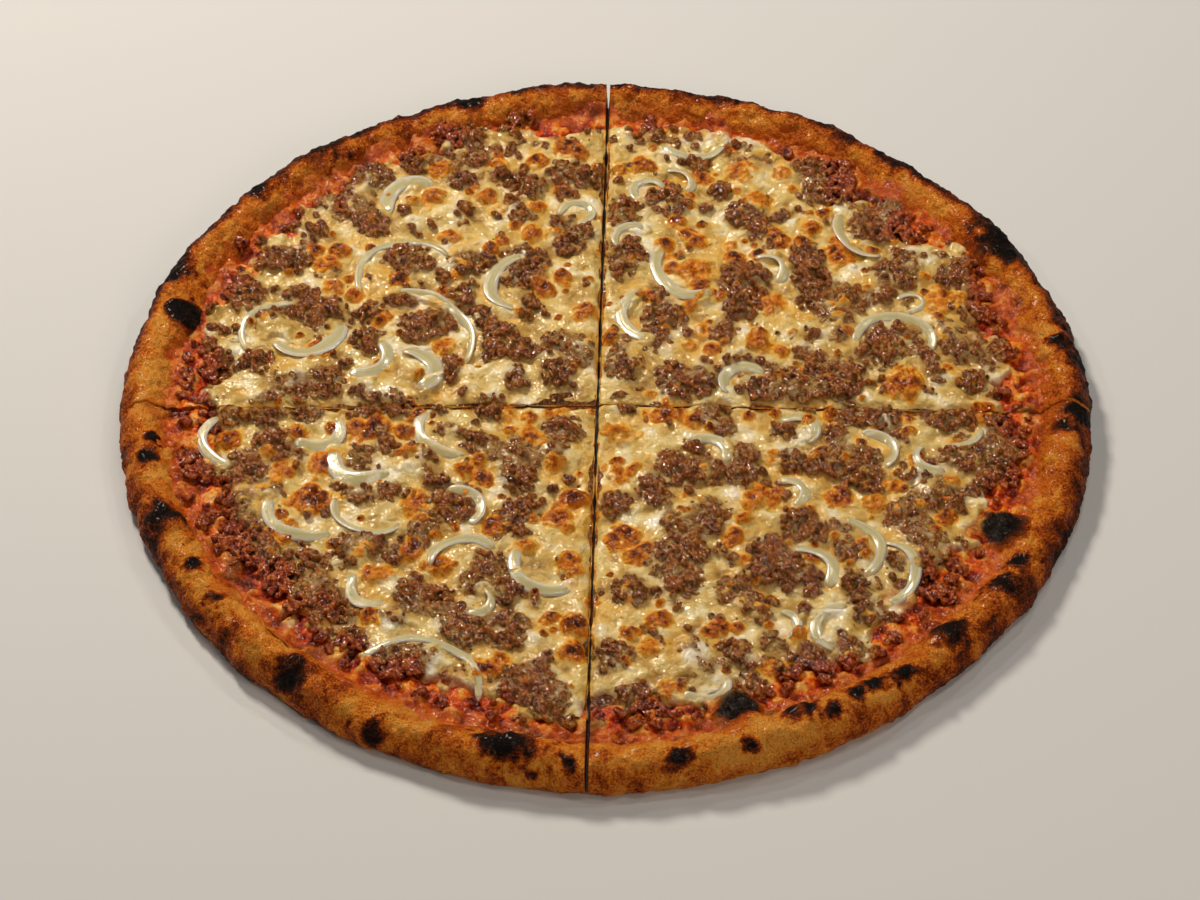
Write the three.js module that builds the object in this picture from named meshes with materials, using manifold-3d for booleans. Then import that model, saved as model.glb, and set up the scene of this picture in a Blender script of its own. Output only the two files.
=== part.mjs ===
// A bolognese pizza, baked whole and cut crosswise into four quarters that still lie together.
// Each quarter is built from the board up: dough with a puffed rim, tomato sauce, a bed of minced beef
// whose clumps break through the cheese, the melted cheese itself, and strips of onion on top.
// Millimetres, +Z up, the underside on Z = 0. The origin is the middle of the underside.
// +X is to the right and +Y to the back, as the pizza is seen from its front.

import * as THREE from "three";
import { mergeVertices } from "three/addons/utils/BufferGeometryUtils.js";
import Module from "manifold-3d";

const wasm = await Module();
wasm.setup();

// ---- Driving dimensions ----

const PIZZA_RADIUS = 150; // a 30 cm pizza
const BASE_THICKNESS = 4.5; // the flat dough under the toppings
const RIM_WIDTH = 16.5; // from the outside of the dough to the inner foot of the puffed rim
const RIM_HEIGHT = 12.5;
const HEEL_WIDTH = 3; // the rounding where the side of the rim turns under
const SAUCE_THICKNESS = 1;
const SAUCE_RING_HEIGHT = 2.6; // how much the bare ring of sauce stands above the covered sauce
const MINCE_BED_THICKNESS = 0.9;
const CHEESE_THICKNESS = 1.6;
const TOPPING_INSET = 28; // from the outside of the dough to the edge of mince and cheese
const LAYER_GAP = 0.3; // clearance between one layer and the next
const KNIFE_GAP = 1.2; // the slit that each cut leaves
const ONION_THICKNESS = 1.7;

// The hand-stretched outline wanders from a circle: lobes round the pizza, millimetres, phase in degrees.
const OUTLINE_WANDER = [
  [2, 0.4, -90],
  [3, 1.05, 56],
  [4, 0.3, 0],
];

// The two cuts meet a little to the left of the middle, and each arm runs its own way (degrees from +X).
const CROSSING = new THREE.Vector2(-1.8, 0);
const CUT_ARMS = { right: -1.5, back: 88.6, left: 181, front: 268.8 };
const SLICES = [
  { name: "back_right", from: CUT_ARMS.right, to: CUT_ARMS.back },
  { name: "back_left", from: CUT_ARMS.back, to: CUT_ARMS.left },
  { name: "front_left", from: CUT_ARMS.left, to: CUT_ARMS.front },
  { name: "front_right", from: CUT_ARMS.front, to: CUT_ARMS.right + 360 },
];

// Heights of the layers
const SAUCE_FLOOR = BASE_THICKNESS + LAYER_GAP;
const SAUCE_TOP = SAUCE_FLOOR + SAUCE_THICKNESS;
const MINCE_FLOOR = SAUCE_TOP + LAYER_GAP;
const MINCE_BED_TOP = MINCE_FLOOR + MINCE_BED_THICKNESS;
const CHEESE_FLOOR = MINCE_BED_TOP + LAYER_GAP;
const CHEESE_TOP = CHEESE_FLOOR + CHEESE_THICKNESS;

// Charred blisters that stand out of the rim: middle x, y, length, width, height, turn in degrees.
const RIM_BLISTERS = [
  [-133, 31, 15, 9, 2.4, 62],
  [-82, 113, 13, 8, 1.5, 42],
  [-44.5, 131.5, 10, 6, 1.4, 20],
  [8.5, 141.5, 7, 6, 1.6, 0],
  [60, 127, 10, 7, 1.5, -28],
  [123, 63, 14, 8, 1.9, -60],
  [138.5, 19.6, 8, 7, 1.5, 90],
  [-129, -54, 10, 8, 1.5, 70],
  [-87, -109, 12, 8, 1.7, -50],
  [-24.5, -140, 15, 9, 2, -8],
  [39, -131, 15, 10, 2.8, 5],
  [123, -58, 15, 11, 3, 60],
  [99, -98, 12, 8, 1.7, 45],
  [55.5, -128, 9, 6, 1.5, 25],
];

// Clumps of mince that stand through the cheese: x, y, radius. They lie where the photograph shows them.
const MINCE_CLUMPS = [
  // back right
  [8, 84, 8], [22, 90, 7], [68, 105, 7], [77, 96, 7.5], [45, 82, 6.5], [89, 78, 7],
  [9, 63, 8.5], [47, 53, 8], [65, 58, 7.5], [93, 56, 8], [114, 56, 6.5], [70, 43, 8.5],
  [45, 40, 6], [20, 37, 7.5], [75, 33, 6], [90, 22, 8], [111, 23, 8], [7, 20, 8],
  [27, 10, 8], [55, 6, 7.5], [72, 10, 8.5], [30, 109, 6], [38, 96, 5.5], [102, 9, 5.5],
  [90, 43, 5.5], [41, 25, 5.5], [108, 40, 5], [65, 27, 5.5],
  // back left
  [-44, 119, 6.5], [-64, 109, 6], [-77, 100, 7], [-8, 103, 7], [-84, 85, 7], [-26, 84, 7],
  [-6, 72, 7], [-101, 61, 8], [-62, 62, 7.5], [-43, 59, 6], [-22, 57, 7.5], [-92, 41, 8],
  [-109, 44, 6.5], [-64, 42, 6], [-57, 33, 6], [-36, 34, 6.5], [-110, 14, 8], [-88, 8, 8],
  [-73, 21, 5.5], [-48, 12, 6.5], [-11, 21, 8.5], [-34, 103, 6], [-46, 98, 5.5], [-14, 93, 5],
  [-45, 84, 5.5], [-94, 74, 5.5], [-22, 41, 5.5], [-32, 21, 6],
  // front left
  [-114, -8, 6.5], [-91, -5, 7], [-72, -5, 7], [-101, -19, 7], [-109, -33, 8], [-72, -38, 8],
  [-55, -26, 6], [-36, -7, 6.5], [-13, -16, 7.5], [-27, -25, 8], [-25, -39, 7.5], [-50, -52, 8],
  [-108, -57, 7.5], [-70, -62, 7], [-90, -75, 9], [-82, -87, 7], [-38, -71, 7.5], [-52, -85, 7.5],
  [-34, -96, 8], [-59, -107, 8], [-20, -113, 8], [-60, -4, 5.5], [-62, -67, 5.5], [-38, -46, 5.5],
  [-26, -55, 5.5], [-62, -93, 5.5], [-47, -106, 5.5], [-56, -42, 5],
  // front right
  [6, -4, 6], [36, -7, 6.5], [85, -7, 7], [104, -9, 6.5], [118, -14, 7], [75, -27, 8],
  [35, -32, 8], [15, -40, 7.5], [98, -39, 8], [25, -60, 8.5], [60, -52, 6.5], [93, -54, 6.5],
  [50, -66, 6.5], [75, -64, 6], [10, -79, 8], [26, -77, 6.5], [41, -83, 7.5], [77, -88, 7],
  [4, -104, 7.5], [27, -106, 8], [42, -101, 6], [51, -12, 5], [119, -31, 6], [107, -25, 6],
  [22, -24, 5.5], [48, -26, 5.5], [32, -48, 6], [59, -92, 5], [72, -101, 5],
];

// Onion strips, each a circular arc: start x, y, middle x, y, end x, y, width. They lie as in the photograph.
const ONION_STRIPS = {
  back_right: [
    [42, 121, 32, 114.5, 19, 117.5, 4.2],
    [9, 92, 14, 97.5, 20, 100.5, 4.8],
    [20.5, 108, 25.5, 103.5, 28.5, 96, 4],
    [3.4, 70, 6, 76, 13, 79, 3.8],
    [16.5, 68, 20, 55, 34, 45, 5],
    [48.5, 67, 54, 61, 57.5, 53, 4.4],
    [10.5, 50, 7.5, 38, 13, 25, 4.6],
    [75.5, 85, 79, 74, 88, 64.5, 4.2],
    [94.5, 49, 97.5, 43.5, 99.5, 38.5, 4],
    [78, 28, 91, 36.5, 104, 24, 5],
    [36.5, 4, 41, 10, 50, 14.5, 5.6],
  ],
  back_left: [
    [-56, 102, -65, 96, -72, 86, 4.6],
    [-50, 67, -71, 68.5, -78, 50, 4.4],
    [-28, 66, -34, 54, -30, 40, 5],
    [-98, 44, -110, 38, -113, 23, 3.6],
    [-104, 23, -92, 25, -80, 33, 5.4],
    [-67, 49.5, -51, 43, -41, 19, 4.2],
    [-62, 25, -57, 17, -54.5, 4.5, 5],
    [-67, 27, -72, 18, -79, 10, 4.4],
    [-14, 90, -9, 86, -3.8, 81, 4.6],
  ],
  front_left: [
    [-120.5, -6, -121.5, -17, -114.5, -29, 4],
    [-79.5, -8, -86, -15, -95, -19.5, 4.8],
    [-56.5, -4, -53, -17, -43.5, -24, 4.4],
    [-86, -22.5, -77, -28.5, -64, -34.5, 3.6],
    [-46.5, -35.5, -40.5, -42, -38.5, -52, 4.4],
    [-103, -43, -96, -52.5, -82.5, -57, 4.6],
    [-82, -42, -76, -51.5, -61, -53, 4.6],
    [-53, -68, -46, -61, -32.5, -61, 4.8],
    [-28, -63, -22, -74.5, -10.5, -80, 4.6],
    [-76, -72, -72, -79, -65, -85, 4.6],
    [-34, -79, -35.5, -84.5, -40, -89, 3.8],
    [-70, -103, -50, -100, -35, -119, 4.2],
  ],
  front_right: [
    [26, -15, 32, -18.5, 38.5, -26, 4.2],
    [54.5, -6.5, 61, -11.5, 64.5, -18.5, 4.6],
    [54, -31, 57, -38, 59, -46, 3.4],
    [74, -49, 80.5, -58, 79.5, -74, 4],
    [86, -58, 91.5, -68, 85.5, -84, 4.6],
    [57, -60, 64.5, -67, 69, -77, 4.2],
    [71, -84, 64.5, -91, 66, -103, 4.2],
    [52.5, -86, 54.8, -91.8, 55.5, -98, 3],
    [37.5, -113.5, 31.5, -118, 22.5, -120.5, 3.6],
    [80, -12, 85, -20, 88, -29, 3.6],
    [96, -18, 99, -26, 103.5, -32, 4],
    [106, -20, 111.5, -17, 117, -12, 2.4],
  ],
};

// ---- Small helpers ----

const LEAST_DETAIL = 0.12; // joined solids are drawn no finer than this, in millimetres

const radians = THREE.MathUtils.degToRad;

// A repeatable stream of numbers from 0 to 1.
function seededRandom(seed) {
  let state = seed;
  return () => {
    state = (state * 1664525 + 1013904223) % 4294967296;
    return state / 4294967296;
  };
}

// A closed three.js geometry as a solid that can be joined and cut.
function solidOf(geometry) {
  const loose = geometry.index ? geometry.toNonIndexed() : geometry;
  const bare = new THREE.BufferGeometry().setAttribute("position", loose.getAttribute("position"));
  const merged = mergeVertices(bare, 1e-4);
  return new wasm.Manifold(
    new wasm.Mesh({
      numProp: 3,
      vertProperties: merged.getAttribute("position").array,
      triVerts: new Uint32Array(merged.index.array),
    }),
  );
}

function geometryOf(solid) {
  const mesh = solid.getMesh();
  return new THREE.BufferGeometry()
    .setAttribute("position", new THREE.BufferAttribute(new Float32Array(mesh.vertProperties), 3))
    .setIndex(new THREE.BufferAttribute(mesh.triVerts, 1));
}

function indexedGeometry(points, triangles) {
  return new THREE.BufferGeometry()
    .setAttribute("position", new THREE.Float32BufferAttribute(points.flat(), 3))
    .setIndex(triangles);
}

// ---- The plan of the pizza ----

// Distance from the crossing of the cuts to the outside of the dough, in the direction of an angle.
function edgeDistance(angle) {
  const wander = OUTLINE_WANDER.reduce(
    (sum, [lobes, size, phase]) => sum + size * Math.cos(lobes * angle - radians(phase)),
    0,
  );
  const radius = PIZZA_RADIUS + wander;
  const along = CROSSING.x * Math.cos(angle) + CROSSING.y * Math.sin(angle);
  return -along + Math.sqrt(radius ** 2 - CROSSING.lengthSq() + along ** 2);
}

// The edge of mince and cheese wavers more than the dough does.
function toppingDistance(angle) {
  const waver = 1.6 * Math.sin(7 * angle + 0.6) + 1.2 * Math.sin(12 * angle + 2);
  return edgeDistance(angle) - TOPPING_INSET + waver;
}

function polar(angle, distance) {
  return [CROSSING.x + distance * Math.cos(angle), CROSSING.y + distance * Math.sin(angle)];
}

// How far a slice's own angles are turned in from its cuts at a distance, so that its sides stay straight.
function knifeTurn(distance) {
  return Math.asin(Math.min(1, KNIFE_GAP / 2 / distance));
}

// The inner tip of a slice, where its two sides meet.
function tipOf(slice) {
  const from = radians(slice.from);
  const to = radians(slice.to);
  const reach = KNIFE_GAP / 2 / Math.sin(to - from);
  return [
    CROSSING.x + reach * (Math.cos(from) + Math.cos(to)),
    CROSSING.y + reach * (Math.sin(from) + Math.sin(to)),
  ];
}

// The outline of a slice's layer: the tip, one straight side, the arc at its edge and the other side.
function sliceOutline(slice, distanceAt, sideSteps, arcSteps) {
  const tip = tipOf(slice);
  const arc = [];
  for (let i = 0; i <= arcSteps; i++) {
    const middle = THREE.MathUtils.lerp(radians(slice.from), radians(slice.to), i / arcSteps);
    const turn = knifeTurn(distanceAt(middle)) * (1 - (2 * i) / arcSteps);
    arc.push(polar(middle + turn, distanceAt(middle + turn)));
  }
  const side = (corner, step) => {
    const share = step / sideSteps;
    return [THREE.MathUtils.lerp(tip[0], corner[0], share), THREE.MathUtils.lerp(tip[1], corner[1], share)];
  };
  const outline = [tip];
  for (let i = 1; i < sideSteps; i++) outline.push(side(arc[0], i));
  outline.push(...arc);
  for (let i = sideSteps - 1; i > 0; i--) outline.push(side(arc[arcSteps], i));
  return outline;
}

// A layer with a flat floor and a shaped top: rings of its outline, drawn in towards a middle point.
function layerGeometry(outline, shares, floor, topAt) {
  const count = outline.length;
  const middle = [0, 1].map((axis) => outline.reduce((sum, point) => sum + point[axis], 0) / count);
  const points = [[...middle, topAt(...middle, 0)]];
  for (const share of shares)
    for (const [x, y] of outline) {
      const at = [THREE.MathUtils.lerp(middle[0], x, share), THREE.MathUtils.lerp(middle[1], y, share)];
      points.push([...at, topAt(...at, share)]);
    }
  const floorMiddle = points.length;
  points.push([...middle, floor]);
  for (const [x, y] of outline) points.push([x, y, floor]);

  const ring = (number, i) => 1 + number * count + (i % count);
  const last = shares.length - 1;
  const triangles = [];
  for (let i = 0; i < count; i++) {
    triangles.push(0, ring(0, i), ring(0, i + 1));
    for (let number = 0; number < last; number++) {
      triangles.push(ring(number, i), ring(number + 1, i), ring(number + 1, i + 1));
      triangles.push(ring(number, i), ring(number + 1, i + 1), ring(number, i + 1));
    }
    const under = floorMiddle + 1 + i;
    const underNext = floorMiddle + 1 + ((i + 1) % count);
    triangles.push(ring(last, i), under, underNext, ring(last, i), underNext, ring(last, i + 1));
    triangles.push(floorMiddle, underNext, under);
  }
  return indexedGeometry(points, triangles);
}

// A slice of something turned about the crossing: a flat top from the tip out to its section, and a flat
// underside. The section is a list of insets from the outside of the dough, with heights, outwards and down.
function turnedSliceGeometry(slice, sectionAt, arcSteps) {
  const tip = tipOf(slice);
  const middleSection = sectionAt(radians((slice.from + slice.to) / 2));
  const length = middleSection.length;
  const top = middleSection[0][1];
  const floor = middleSection[length - 1][1];
  const points = [[...tip, top], [...tip, floor]];
  for (let i = 0; i <= arcSteps; i++) {
    const middle = THREE.MathUtils.lerp(radians(slice.from), radians(slice.to), i / arcSteps);
    for (const [inset, z] of sectionAt(middle)) {
      const distance = edgeDistance(middle) - inset;
      const turn = knifeTurn(distance) * (1 - (2 * i) / arcSteps);
      points.push([...polar(middle + turn, distance), z]);
    }
  }
  const at = (step, place) => 2 + step * length + place;
  const triangles = [];
  for (let i = 0; i < arcSteps; i++) {
    triangles.push(0, at(i, 0), at(i + 1, 0));
    for (let k = 0; k < length - 1; k++) {
      triangles.push(at(i, k), at(i, k + 1), at(i + 1, k + 1));
      triangles.push(at(i, k), at(i + 1, k + 1), at(i + 1, k));
    }
    triangles.push(1, at(i + 1, length - 1), at(i, length - 1));
  }
  // The two cut faces are the section, filled in.
  const contour = [[PIZZA_RADIUS, top], ...middleSection, [PIZZA_RADIUS, floor]];
  const flat = contour.map(([inset, z]) => new THREE.Vector2(-inset, z));
  const onFace = (step, corner) => {
    if (corner === 0) return 0;
    return corner === contour.length - 1 ? 1 : at(step, corner - 1);
  };
  for (const [a, b, c] of THREE.ShapeUtils.triangulateShape(flat, [])) {
    triangles.push(onFace(0, a), onFace(0, b), onFace(0, c));
    triangles.push(onFace(arcSteps, a), onFace(arcSteps, c), onFace(arcSteps, b));
  }
  return indexedGeometry(points, triangles);
}

// ---- Dough ----

// Shares of the rim's width at which its top is drawn, from the inner foot to the outside.
const RIM_STATIONS = [1, 0.86, 0.7, 0.54, 0.4, 0.26, 0.13, 0.04, 0];
const HEEL_STATIONS = [0.35, 0.75, 1]; // shares of the quarter turn from the side to the underside

// The puffed rim is higher here and lower there.
function rimHeight(angle) {
  return RIM_HEIGHT + 0.7 * Math.sin(5 * angle + 1) + 0.5 * Math.sin(11 * angle + 2.2);
}

// Height of the rim's top at a distance in from the outside of the dough.
function rimTop(angle, inset) {
  const share = THREE.MathUtils.clamp(inset / RIM_WIDTH, 0, 1);
  const swell = Math.sin(Math.PI * share ** 0.8);
  return BASE_THICKNESS + (rimHeight(angle) - BASE_THICKNESS) * Math.max(0, swell) ** 0.8;
}

// The section of the dough from the rim's foot, over the rim and round its heel: inset and height.
function rimSection(angle) {
  const top = RIM_STATIONS.map((share) => [share * RIM_WIDTH, rimTop(angle, share * RIM_WIDTH)]);
  const heel = HEEL_STATIONS.map((share) => {
    const turn = (share * Math.PI) / 2;
    return [HEEL_WIDTH * (1 - Math.cos(turn)), BASE_THICKNESS * (1 - Math.sin(turn))];
  });
  return [...top, ...heel];
}

function blisterSolid([x, y, length, width, height, turn]) {
  const fromCrossing = new THREE.Vector2(x, y).sub(CROSSING);
  const angle = fromCrossing.angle();
  const seat = rimTop(angle, edgeDistance(angle) - fromCrossing.length());
  const geometry = new THREE.IcosahedronGeometry(1.08, 0).rotateX(0.4);
  geometry.scale(length / 2, width / 2, height).rotateZ(radians(turn)).translate(x, y, seat);
  return solidOf(geometry);
}

function belongsTo(slice, x, y) {
  const angle = THREE.MathUtils.radToDeg(Math.atan2(y - CROSSING.y, x - CROSSING.x));
  return (angle - slice.from + 720) % 360 < slice.to - slice.from;
}

function crustSolid(slice) {
  let crust = solidOf(turnedSliceGeometry(slice, rimSection, 13));
  // The blisters lie on the rim, and none hangs over the sauce.
  const overSauce = [[RIM_WIDTH, RIM_HEIGHT * 2], [RIM_WIDTH, BASE_THICKNESS]];
  const kept = solidOf(turnedSliceGeometry(slice, () => overSauce, 13));
  for (const blister of RIM_BLISTERS)
    if (belongsTo(slice, blister[0], blister[1])) crust = crust.add(blisterSolid(blister).subtract(kept));
  return crust;
}

// ---- Sauce ----

// The sauce is thin under the toppings and lies as a lumpy ring between them and the rim.
const SAUCE_RING_STATIONS = [[0, 0], [0.16, 0.55], [0.5, 1], [0.85, 0.7], [1, 0.1]]; // across it, up it

function sauceSection(angle) {
  const outside = RIM_WIDTH + LAYER_GAP;
  const inside = edgeDistance(angle) - toppingDistance(angle) - 1.3;
  const height = SAUCE_RING_HEIGHT + 0.5 * Math.sin(23 * angle) + 0.35 * Math.sin(37 * angle + 1);
  const ring = SAUCE_RING_STATIONS.map(([across, up]) => [
    THREE.MathUtils.lerp(inside, outside, across),
    SAUCE_TOP + up * height,
  ]);
  return [...ring, [outside, SAUCE_FLOOR]];
}

// ---- Onion ----

// A strip's arc in plan, from three points on it.
function stripArc([startX, startY, middleX, middleY, endX, endY, width]) {
  const start = new THREE.Vector2(startX, startY);
  const middle = new THREE.Vector2(middleX, middleY);
  const end = new THREE.Vector2(endX, endY);
  const first = middle.clone().sub(start);
  const second = end.clone().sub(start);
  const cross = 2 * (first.x * second.y - first.y * second.x);
  const centre = new THREE.Vector2(
    (second.y * first.lengthSq() - first.y * second.lengthSq()) / cross,
    (first.x * second.lengthSq() - second.x * first.lengthSq()) / cross,
  ).add(start);
  const from = start.clone().sub(centre).angle();
  const sweepTo = (point) => {
    const turn = (point.clone().sub(centre).angle() - from + 4 * Math.PI) % (2 * Math.PI);
    return cross > 0 ? turn : turn - 2 * Math.PI;
  };
  const radius = start.distanceTo(centre);
  const sweep = sweepTo(end);
  return { centre, radius, from, sweep, width, length: radius * Math.abs(sweep) };
}

function pointOnArc(arc, share, sideways = 0) {
  const angle = arc.from + arc.sweep * share;
  const reach = arc.radius + sideways;
  return [arc.centre.x + reach * Math.cos(angle), arc.centre.y + reach * Math.sin(angle)];
}

// The section across a strip: sideways in widths, up in thicknesses.
const STRIP_SECTION = [[-0.5, 0], [-0.32, 0.9], [0.32, 0.9], [0.5, 0]];
const STRIP_STEP = 6;
const STRIP_CLEARANCE = 0.4;

function onionGeometry(arc) {
  const steps = Math.max(3, Math.round(arc.length / STRIP_STEP));
  const points = [];
  for (let i = 0; i <= steps; i++) {
    const share = i / steps;
    const taper = 0.55 + 0.45 * Math.sin(Math.PI * share) ** 0.5;
    const [x, y] = pointOnArc(arc, share);
    const bed = Math.max(cheeseTop(x, y), CHEESE_TOP) + STRIP_CLEARANCE;
    for (const [sideways, up] of STRIP_SECTION) {
      const at = pointOnArc(arc, share, sideways * arc.width * taper);
      points.push([...at, bed + up * ONION_THICKNESS * taper]);
    }
  }
  const corners = STRIP_SECTION.length;
  const triangles = [];
  for (let i = 0; i < steps; i++)
    for (let k = 0; k < corners; k++) {
      const a = i * corners + k;
      const b = i * corners + ((k + 1) % corners);
      triangles.push(a, a + corners, b + corners, a, b + corners, b);
    }
  for (let k = 1; k < corners - 1; k++) {
    const far = steps * corners;
    triangles.push(0, k, k + 1, far, far + k + 1, far + k);
  }
  if (arc.sweep > 0) triangles.reverse();
  return indexedGeometry(points, triangles);
}

// ---- Mince ----

const TWIN_RADIUS = 7.8; // a clump this large or larger is two lumps
const LUMP_CLEARANCE = 0.5;
const STRIP_CHECKS = 24;
const allArcs = Object.values(ONION_STRIPS).flat().map(stripArc);

// How far a point is from the nearest onion strip's edge, and the way that leads from the strip to it.
function nearestStrip(x, y) {
  let nearest = { gap: Infinity };
  for (const arc of allArcs)
    for (let i = 0; i <= STRIP_CHECKS; i++) {
      const [stripX, stripY] = pointOnArc(arc, i / STRIP_CHECKS);
      const away = new THREE.Vector2(x - stripX, y - stripY);
      const gap = away.length() - arc.width / 2;
      if (gap < nearest.gap) nearest = { gap, away: away.normalize() };
    }
  return nearest;
}

// A clump is one craggy lump, or two that lean together. A lump that would cross an onion strip is moved
// off it, and one that would have to move far is skipped.
function lumpsOf([x, y, radius], random) {
  const lumps = [];
  const turn = random() * Math.PI * 2;
  const count = radius < TWIN_RADIUS ? 1 : 2;
  for (let i = 0; i < count; i++) {
    const angle = turn + ((i + 0.4 * random()) * Math.PI * 2) / count;
    const size = radius * (count === 1 ? 0.92 : 0.62 + 0.1 * random());
    const place = new THREE.Vector2(x, y).add(
      new THREE.Vector2(Math.cos(angle), Math.sin(angle)).multiplyScalar(radius - size),
    );
    const { gap, away } = nearestStrip(place.x, place.y);
    const shortfall = size + LUMP_CLEARANCE - gap;
    if (shortfall > size) continue;
    if (shortfall > 0) place.addScaledVector(away, shortfall);
    if (nearestStrip(place.x, place.y).gap < size * 0.9 + LUMP_CLEARANCE) continue;
    lumps.push({ place, size, height: 3.2 + 0.28 * size + 0.9 * random(), turn: random() * 6 });
  }
  return lumps;
}

// A lump is a craggy dome: rings of corners, each smaller and higher, with a skin drawn over them.
// Each ring is: how many corners, how far out and how far up they are, as shares of the lump's own size.
const LUMP_RINGS = [[5, 1, 0], [4, 0.82, 0.6], [2, 0.3, 1]];

function lumpSolid({ place, size, height, turn }) {
  const foot = MINCE_FLOOR + MINCE_BED_THICKNESS / 2;
  const corners = LUMP_RINGS.flatMap(([count, out, up], ring) =>
    Array.from({ length: count }, (_, i) => {
      const angle = turn * (ring + 1) + (i * 2 * Math.PI) / count;
      const lean = 0.12 * Math.sin(3 * angle + turn);
      const reach = size * out * (1 - Math.abs(lean));
      const z = THREE.MathUtils.lerp(foot, MINCE_BED_TOP + height, up * (1 + lean));
      return [place.x + reach * Math.cos(angle), place.y + reach * Math.sin(angle), z];
    }),
  );
  return wasm.Manifold.hull(corners);
}

// A clump's hole in the cheese: wider above than below, and drawn round all the lumps of the clump.
const HOLE_SIDES = 5;
const HOLE_CLEARANCE = 0.4;
const HOLE_FLARE = 0.8;

function holeSolid(clump) {
  const depth = CHEESE_THICKNESS + 4;
  const rounds = clump.map(({ place, size, turn }) => {
    const below = (size + HOLE_CLEARANCE) / Math.cos(Math.PI / HOLE_SIDES);
    const geometry = new THREE.CylinderGeometry(below + HOLE_FLARE, below, depth, HOLE_SIDES);
    geometry.rotateX(Math.PI / 2).rotateZ(turn);
    return solidOf(geometry.translate(place.x, place.y, CHEESE_FLOOR - 1 + depth / 2));
  });
  return wasm.Manifold.hull(rounds);
}

function wedgeSolid(slice, distanceAt) {
  const outline = sliceOutline(slice, distanceAt, 1, 20);
  const shape = new THREE.Shape(outline.map(([x, y]) => new THREE.Vector2(x, y)));
  return solidOf(new THREE.ExtrudeGeometry(shape, { depth: RIM_HEIGHT * 2, bevelEnabled: false }));
}

function minceSolid(slice, clumps) {
  const outline = sliceOutline(slice, toppingDistance, 1, 12);
  const shape = new THREE.Shape(outline.map(([x, y]) => new THREE.Vector2(x, y)));
  const sheet = new THREE.ExtrudeGeometry(shape, { depth: MINCE_BED_THICKNESS, bevelEnabled: false });
  const bed = solidOf(sheet.translate(0, 0, MINCE_FLOOR));
  // Clumps stop at the cuts, and reach a little past the edge of the bed.
  const room = wedgeSolid(slice, (angle) => toppingDistance(angle) + 1);
  const lumps = wasm.Manifold.union(clumps.flat().map(lumpSolid)).intersect(room);
  return bed.add(lumps).simplify(2 * LEAST_DETAIL);
}

// ---- Cheese ----

const CHEESE_SHARES = [0.55, 0.96, 1];
const CUT_SAG = 0.7; // how far the melted cheese has sunk at a cut or at its edge

function cheeseTop(x, y) {
  return CHEESE_TOP + 0.3 * Math.sin(x / 8.5) * Math.cos(y / 9.5) + 0.2 * Math.sin((x + y) / 14);
}

function cheeseSolid(slice, clumps) {
  const outline = sliceOutline(slice, toppingDistance, 4, 12);
  const top = (x, y, share) => (share === 1 ? CHEESE_TOP - CUT_SAG : cheeseTop(x, y));
  let cheese = solidOf(layerGeometry(outline, CHEESE_SHARES, CHEESE_FLOOR, top));
  for (const clump of clumps) cheese = cheese.subtract(holeSolid(clump));
  // What a ring of holes cuts loose is dropped, and the sheet is kept.
  return cheese.decompose().sort((a, b) => b.volume() - a.volume())[0].simplify(LEAST_DETAIL);
}

// ---- The whole pizza ----

const MATERIALS = {
  crust: new THREE.MeshStandardMaterial({ color: 0xc98a45, roughness: 0.85, metalness: 0 }),
  sauce: new THREE.MeshStandardMaterial({ color: 0xa52a12, roughness: 0.35, metalness: 0 }),
  mince: new THREE.MeshStandardMaterial({ color: 0x6b4028, roughness: 0.5, metalness: 0 }),
  cheese: new THREE.MeshStandardMaterial({ color: 0xe6d193, roughness: 0.35, metalness: 0 }),
  onion: new THREE.MeshStandardMaterial({ color: 0xe0dcae, roughness: 0.25, metalness: 0 }),
};

function part(name, geometry, material) {
  const mesh = new THREE.Mesh(geometry, material);
  mesh.name = name;
  return mesh;
}

function sliceGroup(slice) {
  const group = new THREE.Group();
  const random = seededRandom(7 + SLICES.indexOf(slice));
  const ownClumps = MINCE_CLUMPS.filter(([x, y]) => belongsTo(slice, x, y));
  const clumps = ownClumps.map((clump) => lumpsOf(clump, random)).filter((clump) => clump.length > 0);
  group.add(part(`crust_${slice.name}`, geometryOf(crustSolid(slice)), MATERIALS.crust));
  group.add(part(`sauce_${slice.name}`, turnedSliceGeometry(slice, sauceSection, 16), MATERIALS.sauce));
  group.add(part(`mince_${slice.name}`, geometryOf(minceSolid(slice, clumps)), MATERIALS.mince));
  group.add(part(`cheese_${slice.name}`, geometryOf(cheeseSolid(slice, clumps)), MATERIALS.cheese));
  ONION_STRIPS[slice.name].forEach((strip, i) => {
    const name = `onion_${slice.name}_${String(i + 1).padStart(2, "0")}`;
    group.add(part(name, onionGeometry(stripArc(strip)), MATERIALS.onion));
  });
  return group;
}

const pizza = new THREE.Group();
for (const slice of SLICES) pizza.add(sliceGroup(slice));

export default pizza;
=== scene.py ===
# %% [markdown]
# # A bolognese pizza, out of the oven and cut in four
#
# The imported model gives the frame: four quarters, each of dough, sauce, mince, cheese and onion strips.
# Here each of those layers is dressed as food. The whole recipe is worked out in millimetres on one map
# of the pizza seen from above, so that what crosses a cut carries on in the next quarter.

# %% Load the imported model, and keep its box
import math
from functools import partial

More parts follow.
